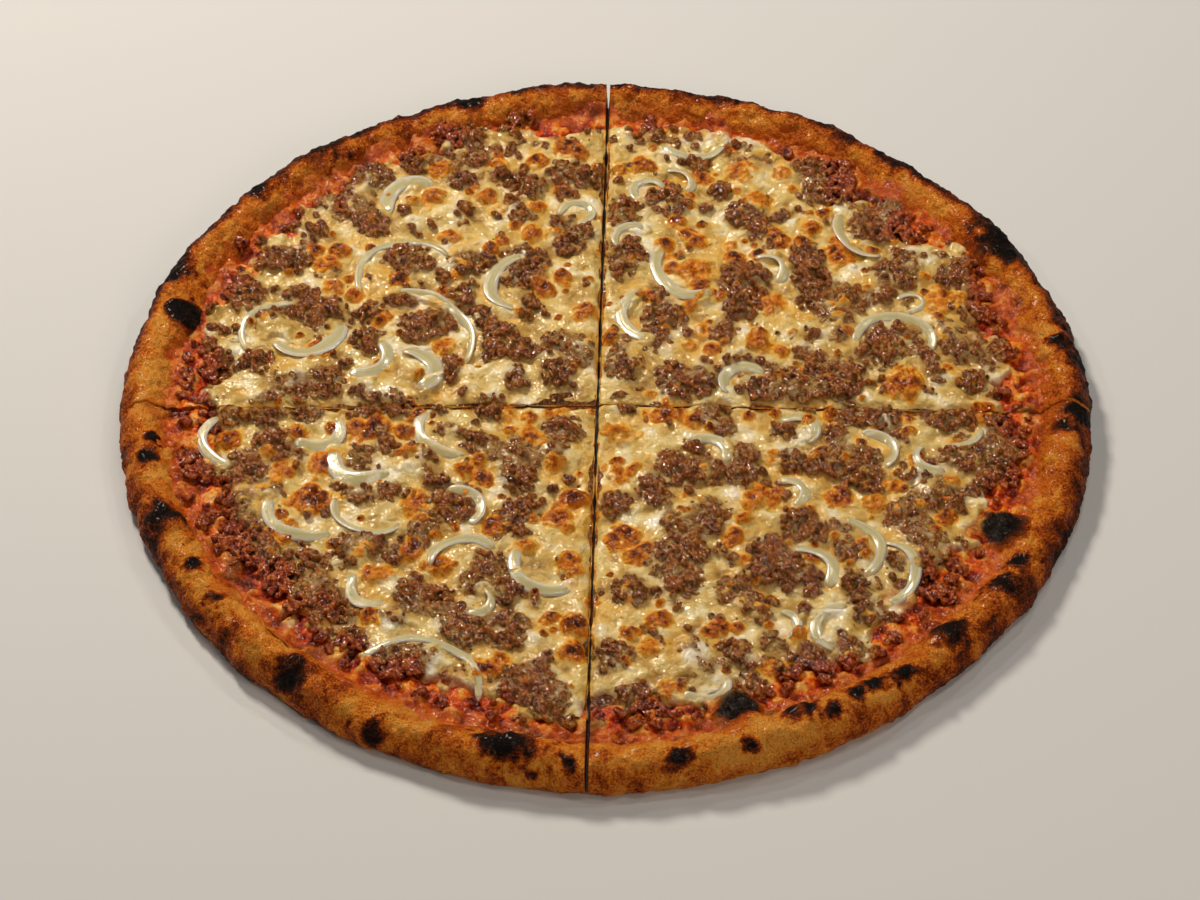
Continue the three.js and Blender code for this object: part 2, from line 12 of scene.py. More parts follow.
import bpy
import numpy as np
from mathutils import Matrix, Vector


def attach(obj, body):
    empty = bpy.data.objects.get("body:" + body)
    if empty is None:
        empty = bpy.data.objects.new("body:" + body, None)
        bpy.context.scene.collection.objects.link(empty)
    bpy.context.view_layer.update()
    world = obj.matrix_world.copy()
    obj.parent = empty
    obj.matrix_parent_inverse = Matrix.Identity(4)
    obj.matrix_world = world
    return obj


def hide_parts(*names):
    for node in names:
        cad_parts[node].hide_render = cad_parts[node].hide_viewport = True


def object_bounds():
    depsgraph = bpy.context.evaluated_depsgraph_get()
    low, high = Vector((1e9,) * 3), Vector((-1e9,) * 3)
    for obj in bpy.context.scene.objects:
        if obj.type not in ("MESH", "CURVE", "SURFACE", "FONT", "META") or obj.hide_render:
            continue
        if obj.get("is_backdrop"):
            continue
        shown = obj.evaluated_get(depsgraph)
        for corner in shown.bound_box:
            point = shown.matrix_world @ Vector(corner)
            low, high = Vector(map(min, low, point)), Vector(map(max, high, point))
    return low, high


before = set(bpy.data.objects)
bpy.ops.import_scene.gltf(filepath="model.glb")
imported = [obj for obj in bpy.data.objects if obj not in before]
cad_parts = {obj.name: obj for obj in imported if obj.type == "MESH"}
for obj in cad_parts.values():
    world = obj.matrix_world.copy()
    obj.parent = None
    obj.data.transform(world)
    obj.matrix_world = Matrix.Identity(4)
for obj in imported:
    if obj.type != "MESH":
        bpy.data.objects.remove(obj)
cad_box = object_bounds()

print("nodes in the frame:", len(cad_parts))

# %% [markdown]
# ## Sizes
#
# The same sizes as the solids have, in millimetres and degrees. The cuts meet a little left of the middle.

# %% Sizes of the pizza
PIZZA_RADIUS = 150.0
BASE_THICKNESS = 4.5
RIM_WIDTH = 16.5
RIM_HEIGHT = 12.5
HEEL_WIDTH = 3.0
TOPPING_INSET = 28.0
KNIFE_GAP = 1.2
OUTLINE_WANDER = ((2, 0.4, -90), (3, 1.05, 56), (4, 0.3, 0))
CROSSING = (-1.8, 0.0)
SLICES = {
    "back_right": (-1.5, 88.6),
    "back_left": (88.6, 181.0),
    "front_left": (181.0, 268.8),
    "front_right": (268.8, 358.5),
}
SAUCE_FLOOR, SAUCE_TOP = 4.8, 5.8
MINCE_FLOOR, MINCE_BED_TOP = 6.1, 7.0
CHEESE_FLOOR, CHEESE_TOP = 7.3, 8.9

# Blisters on the rim: middle x, y, length, width, height, turn in degrees.
RIM_BLISTERS = (
    (-133, 31, 15, 9, 1.4, 62),
    (-82, 113, 13, 8, 1.5, 42),
    (-44.5, 131.5, 10, 6, 1.4, 20),
    (8.5, 141.5, 7, 6, 1.6, 0),
    (60, 127, 10, 7, 1.5, -28),
    (123, 63, 14, 8, 1.9, -60),
    (138.5, 19.6, 8, 7, 1.5, 90),
    (-129, -54, 10, 8, 1.5, 70),
    (-87, -109, 12, 8, 1.7, -50),
    (-24.5, -140, 15, 9, 2, -8),
    (39, -131, 15, 10, 1.4, 5),
    (123, -58, 15, 11, 1.4, 60),
    (99, -98, 12, 8, 1.7, 45),
    (55.5, -128, 9, 6, 1.5, 25),
)

# The three burnt blisters at the rim's inner foot: x, y, radius and height.
BIG_BLISTERS = ((-132.6, 36, 6.5, 2.4), (39, -126, 7.0, 3.6), (120, -54, 7.0, 3.6))

# %% [markdown]
# ## Places read off the photograph
#
# Clumps of mince, domes of toasted cheese and spots of char, each as x, y and radius in millimetres.

# %% Places of clumps, toasted domes and char
CLUMPS = (
    # back left
    (-75, 103, 7), (-61, 111, 6), (-44, 123, 6), (-40, 112, 4), (-46, 101, 5), (-33, 104, 5), (-24, 99, 6),
    (-13, 105, 6), (-4, 104, 6), (-11, 94, 4), (-83, 89, 7), (-75, 82, 7), (-65, 87, 3.5), (-45, 87, 4),
    (-29, 91, 3), (-26, 85, 5), (-15, 81, 4), (-6, 78, 5), (-11, 71, 5), (-93, 77, 4), (-73, 78, 4),
    (-105, 65, 6), (-98, 64, 6), (-62, 65, 9), (-44, 62, 6), (-37, 63, 5), (-24, 64, 7), (-25, 56, 7),
    (-51, 56, 3), (-114, 48, 7), (-95, 44, 8), (-87, 39, 8), (-106, 37, 6), (-45, 47, 5), (-64, 47, 6),
    (-73, 40, 5), (-60, 32, 7), (-54, 35, 6), (-39, 37, 6), (-32, 30, 6), (-24, 42, 5), (-74, 27, 6),
    (-108, 17, 6), (-120, 20, 4), (-97, 8, 7), (-87, 9, 7), (-81, 15, 4), (-49, 14, 6), (-33, 24, 5),
    (-25, 23, 5), (-13, 25, 7), (-7, 22, 7), (-14, 13, 6), (-27, 10, 4), (-27, 133, 5), (-53, 125, 5),
    (-117, 71, 3.5),
    # back right
    (30, 110, 6), (67, 108, 6), (77, 106, 6), (74, 97, 9), (38, 97, 4), (21, 93, 8), (6, 87, 8),
    (45, 86, 6), (50, 79, 6), (58, 85, 3), (93, 85, 7), (85, 80, 7), (89, 76, 5), (8, 67, 8), (7, 59, 5),
    (65, 66, 6), (65, 57, 7), (45, 54, 9), (44, 43, 7), (95, 63, 6), (93, 57, 8), (115, 60, 6),
    (113, 55, 5), (16, 47, 5), (19, 37, 7), (69, 47, 8), (76, 45, 8), (74, 38, 6), (89, 47, 5),
    (120, 39, 4), (38, 30, 5), (65, 29, 4), (74, 30, 4), (91, 28, 9), (87, 22, 8), (109, 27, 6),
    (114, 22, 5), (107, 33, 4), (125, 22, 5), (4, 27, 6), (16, 27, 6), (6, 17, 7), (25, 8, 8), (21, 13, 5),
    (31, 9, 6), (50, 9, 8), (59, 6, 8), (65, 17, 6), (74, 12, 8), (72, 6, 7), (101, 21, 4), (103, 13, 4),
    (115, 9, 5), (40, 17, 4),
    # front left
    (-104, -3, 7), (-114, -6, 6), (-91, -3, 6), (-71, -2, 6), (-64, -2, 6), (-101, -18, 7), (-35, -2, 6),
    (-52, -3, 4), (-49, -12, 3), (-39, -17, 5), (-12, -13, 7), (-27, -23, 8), (-16, -21, 6), (-74, -22, 4),
    (-66, -19, 4), (-56, -23, 6), (-110, -28, 7), (-108, -33, 8), (-72, -35, 10), (-51, -34, 4),
    (-48, -46, 8), (-44, -42, 8), (-53, -55, 6), (-25, -32, 6), (-24, -45, 6), (-26, -53, 5),
    (-101, -39, 5), (-109, -45, 6), (-108, -55, 7), (-104, -62, 7), (-72, -59, 7), (-76, -63, 7),
    (-63, -64, 4), (-91, -72, 10), (-85, -80, 8), (-80, -83, 8), (-34, -70, 8), (-57, -81, 7),
    (-50, -83, 7), (-38, -76, 5), (-29, -78, 6), (-61, -90, 5), (-40, -92, 8), (-43, -95, 7),
    (-29, -94, 8), (-74, -98, 5), (-61, -105, 8), (-53, -106, 6), (-19, -111, 5), (-25, -115, 7),
    (-16, -121, 8),
    # front right
    (6, -1, 5), (34, -5, 6), (37, -11, 4), (55, -13, 5), (62, -5, 4), (57, -25, 5), (78, -6, 7),
    (87, -7, 7), (72, -15, 5), (70, -26, 7), (78, -26, 7), (79, -32, 7), (63, -28, 3), (104, -8, 6),
    (112, -7, 6), (121, -11, 5), (90, -17, 4), (112, -21, 7), (108, -24, 7), (121, -19, 7), (125, -22, 6),
    (97, -32, 8), (102, -41, 7), (115, -34, 4), (121, -31, 6), (27, -19, 4), (21, -27, 6), (27, -30, 6),
    (42, -24, 6), (41, -32, 6), (35, -30, 6), (15, -37, 6), (17, -42, 5), (3, -44, 6), (31, -48, 8),
    (24, -53, 8), (59, -50, 6), (63, -55, 6), (71, -53, 4), (91, -48, 7), (94, -55, 7), (97, -59, 7),
    (95, -66, 6), (24, -63, 7), (19, -67, 7), (50, -63, 7), (55, -69, 7), (74, -63, 6), (85, -65, 5),
    (76, -76, 6), (62, -74, 4), (24, -76, 6), (8, -79, 6), (38, -79, 6), (45, -86, 7), (46, -72, 5),
    (58, -87, 4), (76, -86, 5), (26, -102, 5), (27, -109, 5), (38, -104, 6), (50, -99, 4), (72, -103, 5),
    (62, -105, 4), (3, -105, 7), (10, -120, 6),
)

TOASTED = (
    # back right
    (5, 107, 3), (13, 109, 4), (44, 105, 5), (32, 103, 3), (58, 105, 3), (51, 92, 4), (71, 86, 2.5),
    (67, 79, 4), (24, 83, 2.5), (32, 81, 2), (57, 73, 3.5), (64, 72, 3.5), (29, 72, 3), (28, 76, 2.5),
    (20, 72, 3), (42, 65, 3.5), (41, 71, 2.5), (75, 66, 5), (29, 58, 6), (31, 53, 3), (37, 47, 2.5),
    (27, 43, 2.5), (53, 43, 5), (108, 45, 6), (31, 32, 3.5), (48, 25, 3.5), (56, 22, 2.5), (34, 23, 3),
    (27, 25, 3), (93, 7, 6),
    # front left
    (-115, -17, 4), (-75, -12, 5), (-70, -11, 5), (-61, -13, 4), (-29, -6, 2.5), (-23, -6, 2.5),
    (-16, -5, 2.5), (-22, -16, 4), (-97, -29, 4), (-86, -26, 5), (-88, -42, 6), (-43, -29, 3),
    (-37, -32, 3), (-56, -43, 5), (-32, -51, 4), (-8, -41, 4), (-13, -49, 5), (-95, -56, 3),
    (-57, -62, 4), (-23, -61, 4), (-67, -72, 4), (-49, -69, 4), (-10, -67, 4), (-69, -88, 2.5),
    (-16, -89, 3), (-9, -93, 3.5), (-34, -109, 4), (-30, -106, 3), (-9, -102, 4),
    # front right
    (5, -13, 5), (19, -4, 4), (28, -8, 3), (45, -6, 2), (53, -5, 2), (70, -6, 3), (51, -23, 2.5),
    (67, -22, 2.5), (95, -25, 2.5), (88, -36, 2.5), (106, -34, 2.5), (5, -31, 4), (50, -39, 4),
    (45, -42, 3), (72, -40, 4), (82, -43, 3.5), (42, -51, 2.5), (39, -57, 3), (42, -66, 3),
    (103, -49, 3.5), (6, -57, 5), (10, -65, 4), (17, -90, 4), (34, -94, 3), (8, -95, 3), (14, -102, 4),
    (57, -96, 3), (51, -110, 4.5), (19, -117, 3.5),
    # back left
    (-55, 94, 4), (-38, 94, 3), (-62, 92, 3), (-53, 107, 3.5), (-22, 111, 3.5), (-11, 118, 4),
    (-88, 62, 3.5), (-85, 68, 3), (-92, 68, 3), (-86, 51, 4), (-79, 48, 3), (-65, 55, 3), (-49, 75, 3.5),
    (-36, 69, 3), (-23, 76, 3), (-19, 50, 3.5), (-6, 40, 4), (-13, 56, 3), (-50, 25, 3.5), (-8, 115, 3),
    (-90, 22, 4), (-69, 16, 3),
)

CHARRED = (
    (-132.6, 36, 5.5), (-137, 55, 4), (-112, 94, 3), (-90, 117, 5), (-83, 123, 4), (-45, 139, 5),
    (-73, 131, 2), (-29, 143, 3), (9, 146, 4), (50, 138, 2.5), (63, 133, 4), (91, 112, 2), (104, 103, 4),
    (98, 108, 4), (126, 70, 6), (130, 64, 5), (142, 23, 3), (148, 16, 4), (-131, -51, 5), (-122, -71, 2.5),
    (-114, -85, 2), (-91, -115, 5), (-66, -134, 4), (-27, -140, 7), (-9, -147, 2), (-138, -18, 3),
    (-139, -26, 3), (120, -54, 6.5), (39, -126, 6.5), (141, -13, 3), (146, -7, 4), (58, -127, 3),
    (54, -130, 3), (66, -128, 2), (73, -122, 2.5), (78, -118, 3), (87, -114, 3), (101, -97, 5),
    (118, -78, 4), (123, -69, 2.5), (21, -145, 3), (42, -141, 2.5), (96, -84, 4), (5, -136, 3),
)

# Where the sauce shows between the toppings and the rim: first and last degree, and how wide.
SAUCE_SHOWS = (
    (-3, 5, 11), (7, 27, 8), (34, 41, 10), (44, 53, 9), (89, 99, 6), (114, 121, 5), (129, 136, 5),
    (138, 143, 6), (147, 159, 7), (166, 180, 8), (180, 259, 11), (268, 284, 9), (291, 305, 8), (309, 331, 9),
    (339, 357, 7),
)

print("clumps:", len(CLUMPS), "toasted domes:", len(TOASTED), "charred spots:", len(CHARRED))

# %% [markdown]
# ## The map of the pizza
#
# Every height and every tint starts as a field on one square grid seen from above. A field of grain is
# white noise blurred to a grain size, which is how baked food varies: smoothly, and at several sizes. It
# could be sculpted and painted by hand, but a field runs on across the cuts and comes back from its seed.

# %% The map, and what can be done with a field on it
CELL = 0.32
HALF = 176.0
COUNT = int(2 * HALF / CELL)
AXIS = (np.arange(COUNT) + 0.5) * CELL - HALF
MAP_X, MAP_Y = np.meshgrid(AXIS, AXIS)


def blur(field, size):
    """Blurs a field by a Gaussian of that size in millimetres."""
    wave_y = np.fft.fftfreq(COUNT, CELL)[:, None]
    wave_x = np.fft.rfftfreq(COUNT, CELL)[None, :]
    softening = np.exp(-2 * (math.pi * size) ** 2 * (wave_x**2 + wave_y**2))
    return np.fft.irfft2(np.fft.rfft2(field) * softening, s=field.shape)


def grain(size, seed):
    """A field of grain of that size, about -2 to 2."""
    field = blur(np.random.default_rng(seed).standard_normal((COUNT, COUNT)), size)
    return field / field.std()


def sample(field, x, y):
    """The field's values at points between its cells."""
    u = np.clip((x + HALF) / CELL - 0.5, 0, COUNT - 1.001)
    v = np.clip((y + HALF) / CELL - 0.5, 0, COUNT - 1.001)
    i, j = u.astype(int), v.astype(int)
    u, v = u - i, v - j
    below = field[j, i] * (1 - u) + field[j, i + 1] * u
    above = field[j + 1, i] * (1 - u) + field[j + 1, i + 1] * u
    return below * (1 - v) + above * v


def near(x, y, reach):
    """The part of the map within reach of a point, as an index, and its cells' distances from the point."""
    first_x, last_x = (int((x + side * reach + HALF) / CELL) for side in (-1, 1))
    first_y, last_y = (int((y + side * reach + HALF) / CELL) for side in (-1, 1))
    area = slice(max(first_y, 0), last_y + 2), slice(max(first_x, 0), last_x + 2)
    return area, np.hypot(MAP_X[area] - x, MAP_Y[area] - y)


def smoothstep(low, high, value):
    """0 below low, 1 above high, and an eased rise between them; low may be the larger of the two."""
    share = np.clip((value - low) / (high - low), 0, 1)
    return share * share * (3 - 2 * share)


def smooth_max(a, b, width):
    """The higher of two heights, with a rounded fillet of that width between them."""
    share = np.clip(0.5 + 0.5 * (a - b) / width, 0, 1)
    return b + (a - b) * share + width * share * (1 - share)


def smooth_cap(field, most, width):
    """The field, eased off to stay below a value."""
    return -smooth_max(-field, -most, width)


# %% Where the dough ends, and how its rim rises
def edge_distance(angle):
    """Distance from the crossing of the cuts to the outside of the dough."""
    radius = PIZZA_RADIUS
    for lobes, size, phase in OUTLINE_WANDER:
        radius = radius + size * np.cos(lobes * angle - math.radians(phase))
    along = CROSSING[0] * np.cos(angle) + CROSSING[1] * np.sin(angle)
    return -along + np.sqrt(radius**2 - CROSSING[0] ** 2 - CROSSING[1] ** 2 + along**2)


def polar(angle, distance):
    """The point at an angle and a distance from the crossing of the cuts."""
    return CROSSING[0] + distance * np.cos(angle), CROSSING[1] + distance * np.sin(angle)


def rim_top(angle, inset):
    """Height of the rim's top at a distance in from the outside."""
    height = RIM_HEIGHT + 0.7 * np.sin(5 * angle + 1) + 0.5 * np.sin(11 * angle + 2.2)
    swell = np.clip(np.sin(math.pi * np.clip(inset / RIM_WIDTH, 0, 1) ** 0.8), 0, 1)
    return BASE_THICKNESS + (height - BASE_THICKNESS) * swell**0.8


MAP_ANGLE = np.arctan2(MAP_Y - CROSSING[1], MAP_X - CROSSING[0])
MAP_INSET = edge_distance(MAP_ANGLE) - np.hypot(MAP_X - CROSSING[0], MAP_Y - CROSSING[1])
print("map cells:", MAP_X.size)

# %% [markdown]
# ## The four quarters
#
# A quarter lies between two arms of the cuts. Its two sides stand half the knife's gap in from them.


# %% What lies in a quarter
def direction(degrees):
    """The unit vector at that many degrees from the x axis."""
    return np.array((math.cos(math.radians(degrees)), math.sin(math.radians(degrees))))


def tip_of(first, last):
    """The inner tip of a quarter, where its two sides meet."""
    reach = KNIFE_GAP / 2 / math.sin(math.radians(last - first))
    return np.array(CROSSING) + reach * (direction(first) + direction(last))


def depth_in(name, x, y):
    """How far points are in from the two sides of a quarter; negative is outside it."""
    along_first, along_last = (direction(degrees) for degrees in SLICES[name])
    x, y = x - CROSSING[0], y - CROSSING[1]
    from_first = along_first[0] * y - along_first[1] * x - KNIFE_GAP / 2
    from_last = along_last[1] * x - along_last[0] * y - KNIFE_GAP / 2
    return from_first, from_last


def from_sides(distance, gap):
    """The turn, at each distance, that keeps rays across a quarter half a gap in from both its sides."""
    return np.arcsin(np.clip(gap / 2 / distance, 0, 1)) * np.linspace(1, -1, len(distance))[:, None]


print("quarters:", list(SLICES))

# %% [markdown]
# ## Making pieces
#
# Every piece is a mesh worked out in millimetres and made in metres. It rides on the pizza's one body,
# stands for the node of the same layer, and takes that layer's finish. What a finish needs to know at each
# point, such as how toasted the cheese is there, is kept in the mesh as a tint: a named number from 0 to 1.

# %% Small builders for meshes
MM = 0.001


def link(piece):
    """Puts an object in the scene."""
    bpy.context.scene.collection.objects.link(piece)
    return piece


def new_piece(name, points, faces, material, node_name, tints):
    """A finished piece, with its tints, that stands for one node of the frame."""
    mesh = bpy.data.meshes.new(name)
    mesh.from_pydata((np.asarray(points) * MM).tolist(), [], [list(map(int, face)) for face in faces])
    for label, values in tints.items():
        layer = mesh.attributes.new(label, "FLOAT", "POINT")
        layer.data.foreach_set("value", np.asarray(values, dtype=np.float32))
    mesh.validate()
    mesh.shade_smooth()
    mesh.materials.append(material)
    piece = link(bpy.data.objects.new(name, mesh))
    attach(piece, "root")
    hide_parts(node_name)
    return piece


def grid_faces(index):
    """The quads between the points of a grid of point numbers; a number below 0 is a hole."""
    corners = np.stack((index[:-1, :-1], index[1:, :-1], index[1:, 1:], index[:-1, 1:]), axis=-1)
    corners = corners.reshape(-1, 4)
    return corners[(corners >= 0).all(axis=1)]


def coordinates(mesh, field="co"):
    """A mesh's points, or their normals, as rows of x, y and z."""
    values = np.empty(len(mesh.vertices) * 3)
    mesh.vertices.foreach_get(field, values)
    return values.reshape(-1, 3)


def evaluated_mesh(piece):
    """The mesh that a piece's modifiers make, as a mesh of its own."""
    graph = bpy.context.evaluated_depsgraph_get()
    return bpy.data.meshes.new_from_object(piece.evaluated_get(graph), depsgraph=graph)


def scattered(distance, turn, radius):
    """Rows of x, y and radius for points at those distances and turns round the middle."""
    return np.stack((distance * np.cos(turn), distance * np.sin(turn), radius), axis=1)


# %% [markdown]
# ## Building node trees
#
# One function adds any node. Values fill its sockets in order, a name with a capital letter is a socket,
# and any other name is a setting. Colours are given as on a colour card and turned linear in one place, and
# the size of a pattern is given in millimetres.

# %% Node helpers
MATH, REMAP, MIX, RAMP = "ShaderNodeMath", "ShaderNodeMapRange", "ShaderNodeMix", "ShaderNodeValToRGB"
PLACE, NOISE, CELLS = "ShaderNodeTexCoord", "ShaderNodeTexNoise", "ShaderNodeTexVoronoi"
TINT, BUMP = "ShaderNodeAttribute", "ShaderNodeBump"


def colour(code):
    """A colour card's code as linear colour."""
    channels = [int(code[i : i + 2], 16) / 255 for i in (1, 3, 5)]
    return [c / 12.92 if c <= 0.04045 else ((c + 0.055) / 1.055) ** 2.4 for c in channels] + [1.0]


def scale_for(size):
    """The scale of a pattern with features about that many millimetres across."""
    return 1000 / size


def feed(socket, value):
    """Links a node's output to a socket, or gives the socket a plain value."""
    if isinstance(value, bpy.types.NodeSocket):
        socket.id_data.links.new(value, socket)
    else:
        socket.default_value = value


def add_node(tree, kind, *values, out=None, stops=(), **named):
    """Adds a node with its settings, links, values and colour stops, and gives its output."""
    made = tree.nodes.new(kind)
    for label, value in named.items():
        if label.islower():
            setattr(made, label, value)
    for socket, value in zip([socket for socket in made.inputs if socket.enabled], values):
        feed(socket, value)
    for label, value in named.items():
        if not label.islower():
            feed(made.inputs[label], value)
    for number, (place, code) in enumerate(stops):
        elements = made.color_ramp.elements
        element = elements[number] if number < len(elements) else elements.new(place)
        element.position, element.color = place, colour(code)
    shown = [socket for socket in made.outputs if socket.enabled and out in (None, socket.name)]
    return shown[0] if shown else None


def new_material(name, recipe):
    """A material with the sockets of its shader as the recipe gives them."""
    material = bpy.data.materials.new(name)
    material.use_nodes = True
    shader = material.node_tree.nodes["Principled BSDF"]
    for label, value in recipe(partial(add_node, material.node_tree)).items():
        feed(shader.inputs[label], value)
    return material


# %% [markdown]
# ## Camera, light and floor
#
# The camera looks down at 46 degrees from the front, through a long lens. The light is plain studio light: a
# warm key from behind on the left, and weaker, broader lights from the front and from above that fill its
# shadows. Three small bulbs, right, behind and left, give the oily food its sparkle.

# %% Camera, lights and floor
CAMERA_TARGET = Vector((-0.00105, -0.0123, 0.0))
CAMERA_DISTANCE = 1.2865
CAMERA_ELEVATION = math.radians(45.9)
FLOOR_HALF = 4.0

camera_data = bpy.data.cameras.new("Camera")
camera_data.lens = 125
camera_data.sensor_width = 36
camera_data.clip_start = 0.01
camera = link(bpy.data.objects.new("Camera", camera_data))
towards_camera = Vector((0, -math.cos(CAMERA_ELEVATION), math.sin(CAMERA_ELEVATION)))
camera.location = CAMERA_TARGET + CAMERA_DISTANCE * towards_camera
camera.rotation_euler = (CAMERA_TARGET - camera.location).to_track_quat("-Z", "Y").to_euler()
bpy.context.scene.camera = camera


def area_light(name, place, size, power, tint):
    """A round light that faces the middle of the pizza."""
    data = bpy.data.lights.new(name, "AREA")
    data.shape = "DISK"
    data.size = size
    data.energy = power
    data.color = colour(tint)[:3]
    light = link(bpy.data.objects.new(name, data))
    light.location = place
    light.rotation_euler = (-Vector(place)).to_track_quat("-Z", "Y").to_euler()


area_light("Key", (-0.45, 0.75, 0.85), 0.22, 11, "#FFEFDA")
area_light("Fill", (0.5, -0.85, 0.65), 0.5, 2.6, "#FFEBD2")
area_light("Top", (0.15, -0.2, 1.3), 0.4, 1.6, "#FFF4E6")
for number, degrees in enumerate((25, 65, 175)):
    turn = math.radians(degrees)
    area_light(f"Bulb {number}", (0.7 * math.cos(turn), 0.7 * math.sin(turn), 0.9), 0.07, 0.9, "#FFF4E4")

world = bpy.data.worlds.new("Studio")
world.use_nodes = True
world.node_tree.nodes["Background"].inputs["Color"].default_value = colour("#F4F5F7")
world.node_tree.nodes["Background"].inputs["Strength"].default_value = 0.04
bpy.context.scene.world = world
bpy.context.scene.view_settings.view_transform = "Standard"

floor_mesh = bpy.data.meshes.new("Floor")
corners = [(x * FLOOR_HALF, y * FLOOR_HALF, 0) for x, y in ((-1, -1), (1, -1), (1, 1), (-1, 1))]
floor_mesh.from_pydata(corners, [], [(0, 1, 2, 3)])
floor_finish = {"Base Color": colour("#DADEE3"), "Roughness": 0.8}
floor_mesh.materials.append(new_material("Pale studio floor", lambda add: floor_finish))
floor = link(bpy.data.objects.new("Floor", floor_mesh))
floor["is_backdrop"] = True
print("lights:", len(bpy.data.lights), "camera distance:", CAMERA_DISTANCE, "m")

# %% [markdown]
# ## Finishes
#
# Each is named for the real thing. A finish could be painted on by hand, but here the meshes carry how
# baked, charred, toasted or thin the food is at each point, and the nodes turn that into colour, gloss and
# fine relief, so the finish fits the shape everywhere. What all the finishes need is made first.

# %% Tints broken up by a pattern, layers of colour, and layers of relief
def tint(add, label):
    """The tint that the mesh carries under that name."""
    return add(TINT, out="Fac", attribute_name=label)


def patchy(add, label, pattern, *reach):
    """A tint that a pattern breaks up, so that its edge is never smooth."""
    return add(MATH, tint(add, label), add(REMAP, pattern, *reach), operation="MULTIPLY")


def weighed(add, *parts):
    """The sum of two values, each times its weight."""
    products = [add(MATH, value, weight, operation="MULTIPLY") for value, weight in parts]
    return add(MATH, *products, operation="ADD")


def shifted(add, tone, *shifts):
    """A tone moved up and down by other values, each given with its reach and the shifts at its ends."""
    for value, *reach in shifts:
        tone = add(MATH, tone, add(REMAP, value, *reach), operation="ADD")
    return tone


def domed(add, distance):
    """Rounded caps, 1 high, from the distances to their middles."""
    return add(MATH, 1.0, add(MATH, distance, distance, operation="MULTIPLY"), operation="SUBTRACT")


def layered(add, base, *layers):
    """Colours laid over a base one after another, each where its share says."""
    for share, over in layers:
        base = add(MIX, share, base, over, data_type="RGBA")
    return base


def embossed(add, *layers):
    """Relief from the coarsest to the finest: heights from 0 to 1, each with its depth in millimetres."""
    below = {}
    for height, depth in layers:
        below = {"Normal": add(BUMP, Height=height, Distance=depth * MM, **below)}
    return below["Normal"]


# %% [markdown]
# ### Baked dough
#
# Wheat dough baked on hot stone. Its skin is matt and pored, so it has hardly any sheen. To the eye it runs
# from golden where it lies low, over orange brown on the crest, to black and dry where a blister caught the
# flame. One ramp along the mesh's own bake makes that run, and blotches and a fine speckle shift the bake,
# as the sugar in real dough does. At its inner foot the rim is stained by sauce.


# %% Baked dough
def baked_dough(add):
    place = add(PLACE, out="Object")
    blotches = add(NOISE, place, Scale=scale_for(6.0), Detail=4, Roughness=0.62, Distortion=0.5)
    speckle = add(NOISE, place, Scale=scale_for(0.75), Detail=3, Roughness=0.7)
    puffs = add(NOISE, place, Scale=scale_for(5.5))
    pores = add(NOISE, place, Scale=scale_for(1.5), Detail=4, Roughness=0.7)
    fine_pores = add(NOISE, place, Scale=scale_for(0.6), Roughness=0.6)
    # The bake tint carries painted shade and painted light on the rim's sides as well as the browning.
    bake = shifted(add, tint(add, "bake"), (blotches, 0.3, 0.7, -0.24, 0.22))
    bake = add(MATH, bake, add(REMAP, speckle, 0.3, 0.7, -0.22, 0.24), operation="ADD", use_clamp=True)
    crumb = add(RAMP, bake, stops=(
        (0.0, "#F6A844"), (0.16, "#F09028"), (0.34, "#D26816"), (0.5, "#983C0A"),
        (0.68, "#5C290C"), (0.84, "#2A1610"), (1.0, "#14100F"),
    ))
    sauce = add(RAMP, blotches, stops=((0.35, "#B33A08"), (0.6, "#E8751F")))
    return {
        "Base Color": layered(add, crumb, (patchy(add, "stain", speckle, 0.35, 0.6, 0.4, 1.0), sauce)),
        "Roughness": add(REMAP, bake, 0.2, 0.9, 0.48, 0.8),
        "Normal": embossed(add, (puffs, 2.6), (pores, 1.6), (fine_pores, 0.8)),
        "Specular IOR Level": 0.08,
        "Coat Weight": 0.08,
        "Coat Roughness": 0.12,
    }


# %% [markdown]
# ### Tomato sauce
#
# Crushed tomatoes boiled down with oil: pulp in a thick juice. To the eye it is deep red in its hollows and
# orange on its lumps, with wet and uneven glints. Its colour follows the pulp's lumps and the relief tint, so
# the lumps are painted lighter and the hollows darker: the pulp's own colour, with painted light and shade.
# The glints come from a coat with a relief of its own, coarser than the pulp. Towards the rim the sauce has
# dried to a dull rust, and there and where it is burnt the coat fades.


# %% Tomato sauce
def tomato_sauce(add):
    place = add(PLACE, out="Object")
    pulp = add(NOISE, place, Scale=scale_for(3.2), Detail=4, Roughness=0.6, Distortion=0.6)
    fine = add(NOISE, place, Scale=scale_for(0.8), Detail=3, Roughness=0.6)
    ripples = add(NOISE, place, Scale=scale_for(1.1), Detail=1)
    # Painted light and shade with the pulp's colour: the tone rises on the lumps and falls in the hollows.
    tone = shifted(add, weighed(add, (pulp, 0.7), (fine, 0.3)), (tint(add, "relief"), -1, 1, -0.15, 0.15))
    pulp_with_painted_light_and_shade = add(RAMP, tone, stops=(
        (0.3, "#5A0C02"), (0.41, "#B02A04"), (0.5, "#E45806"), (0.6, "#F58A18"), (0.74, "#F6C464"),
    ))
    bake = tint(add, "bake")
    dried = add(RAMP, pulp, stops=((0.35, "#A3370A"), (0.62, "#D96E1F")))
    burnt = add(RAMP, bake, stops=((0.5, "#381208"), (0.9, "#1D1511")))
    return {
        "Base Color": layered(add, pulp_with_painted_light_and_shade, (tint(add, "dry"), dried), (bake, burnt)),
        "Roughness": add(REMAP, fine, 0.3, 0.7, 0.16, 0.36),
        "Normal": embossed(add, (pulp, 1.2), (fine, 0.8)),
        "Specular IOR Level": 0.06,
        "Coat Weight": add(REMAP, bake, 0.2, 0.9, 0.42, 0.12),
        "Coat Normal": embossed(add, (ripples, 0.8)),
        "Coat IOR": 1.6,
        "Coat Roughness": 0.18,
    }
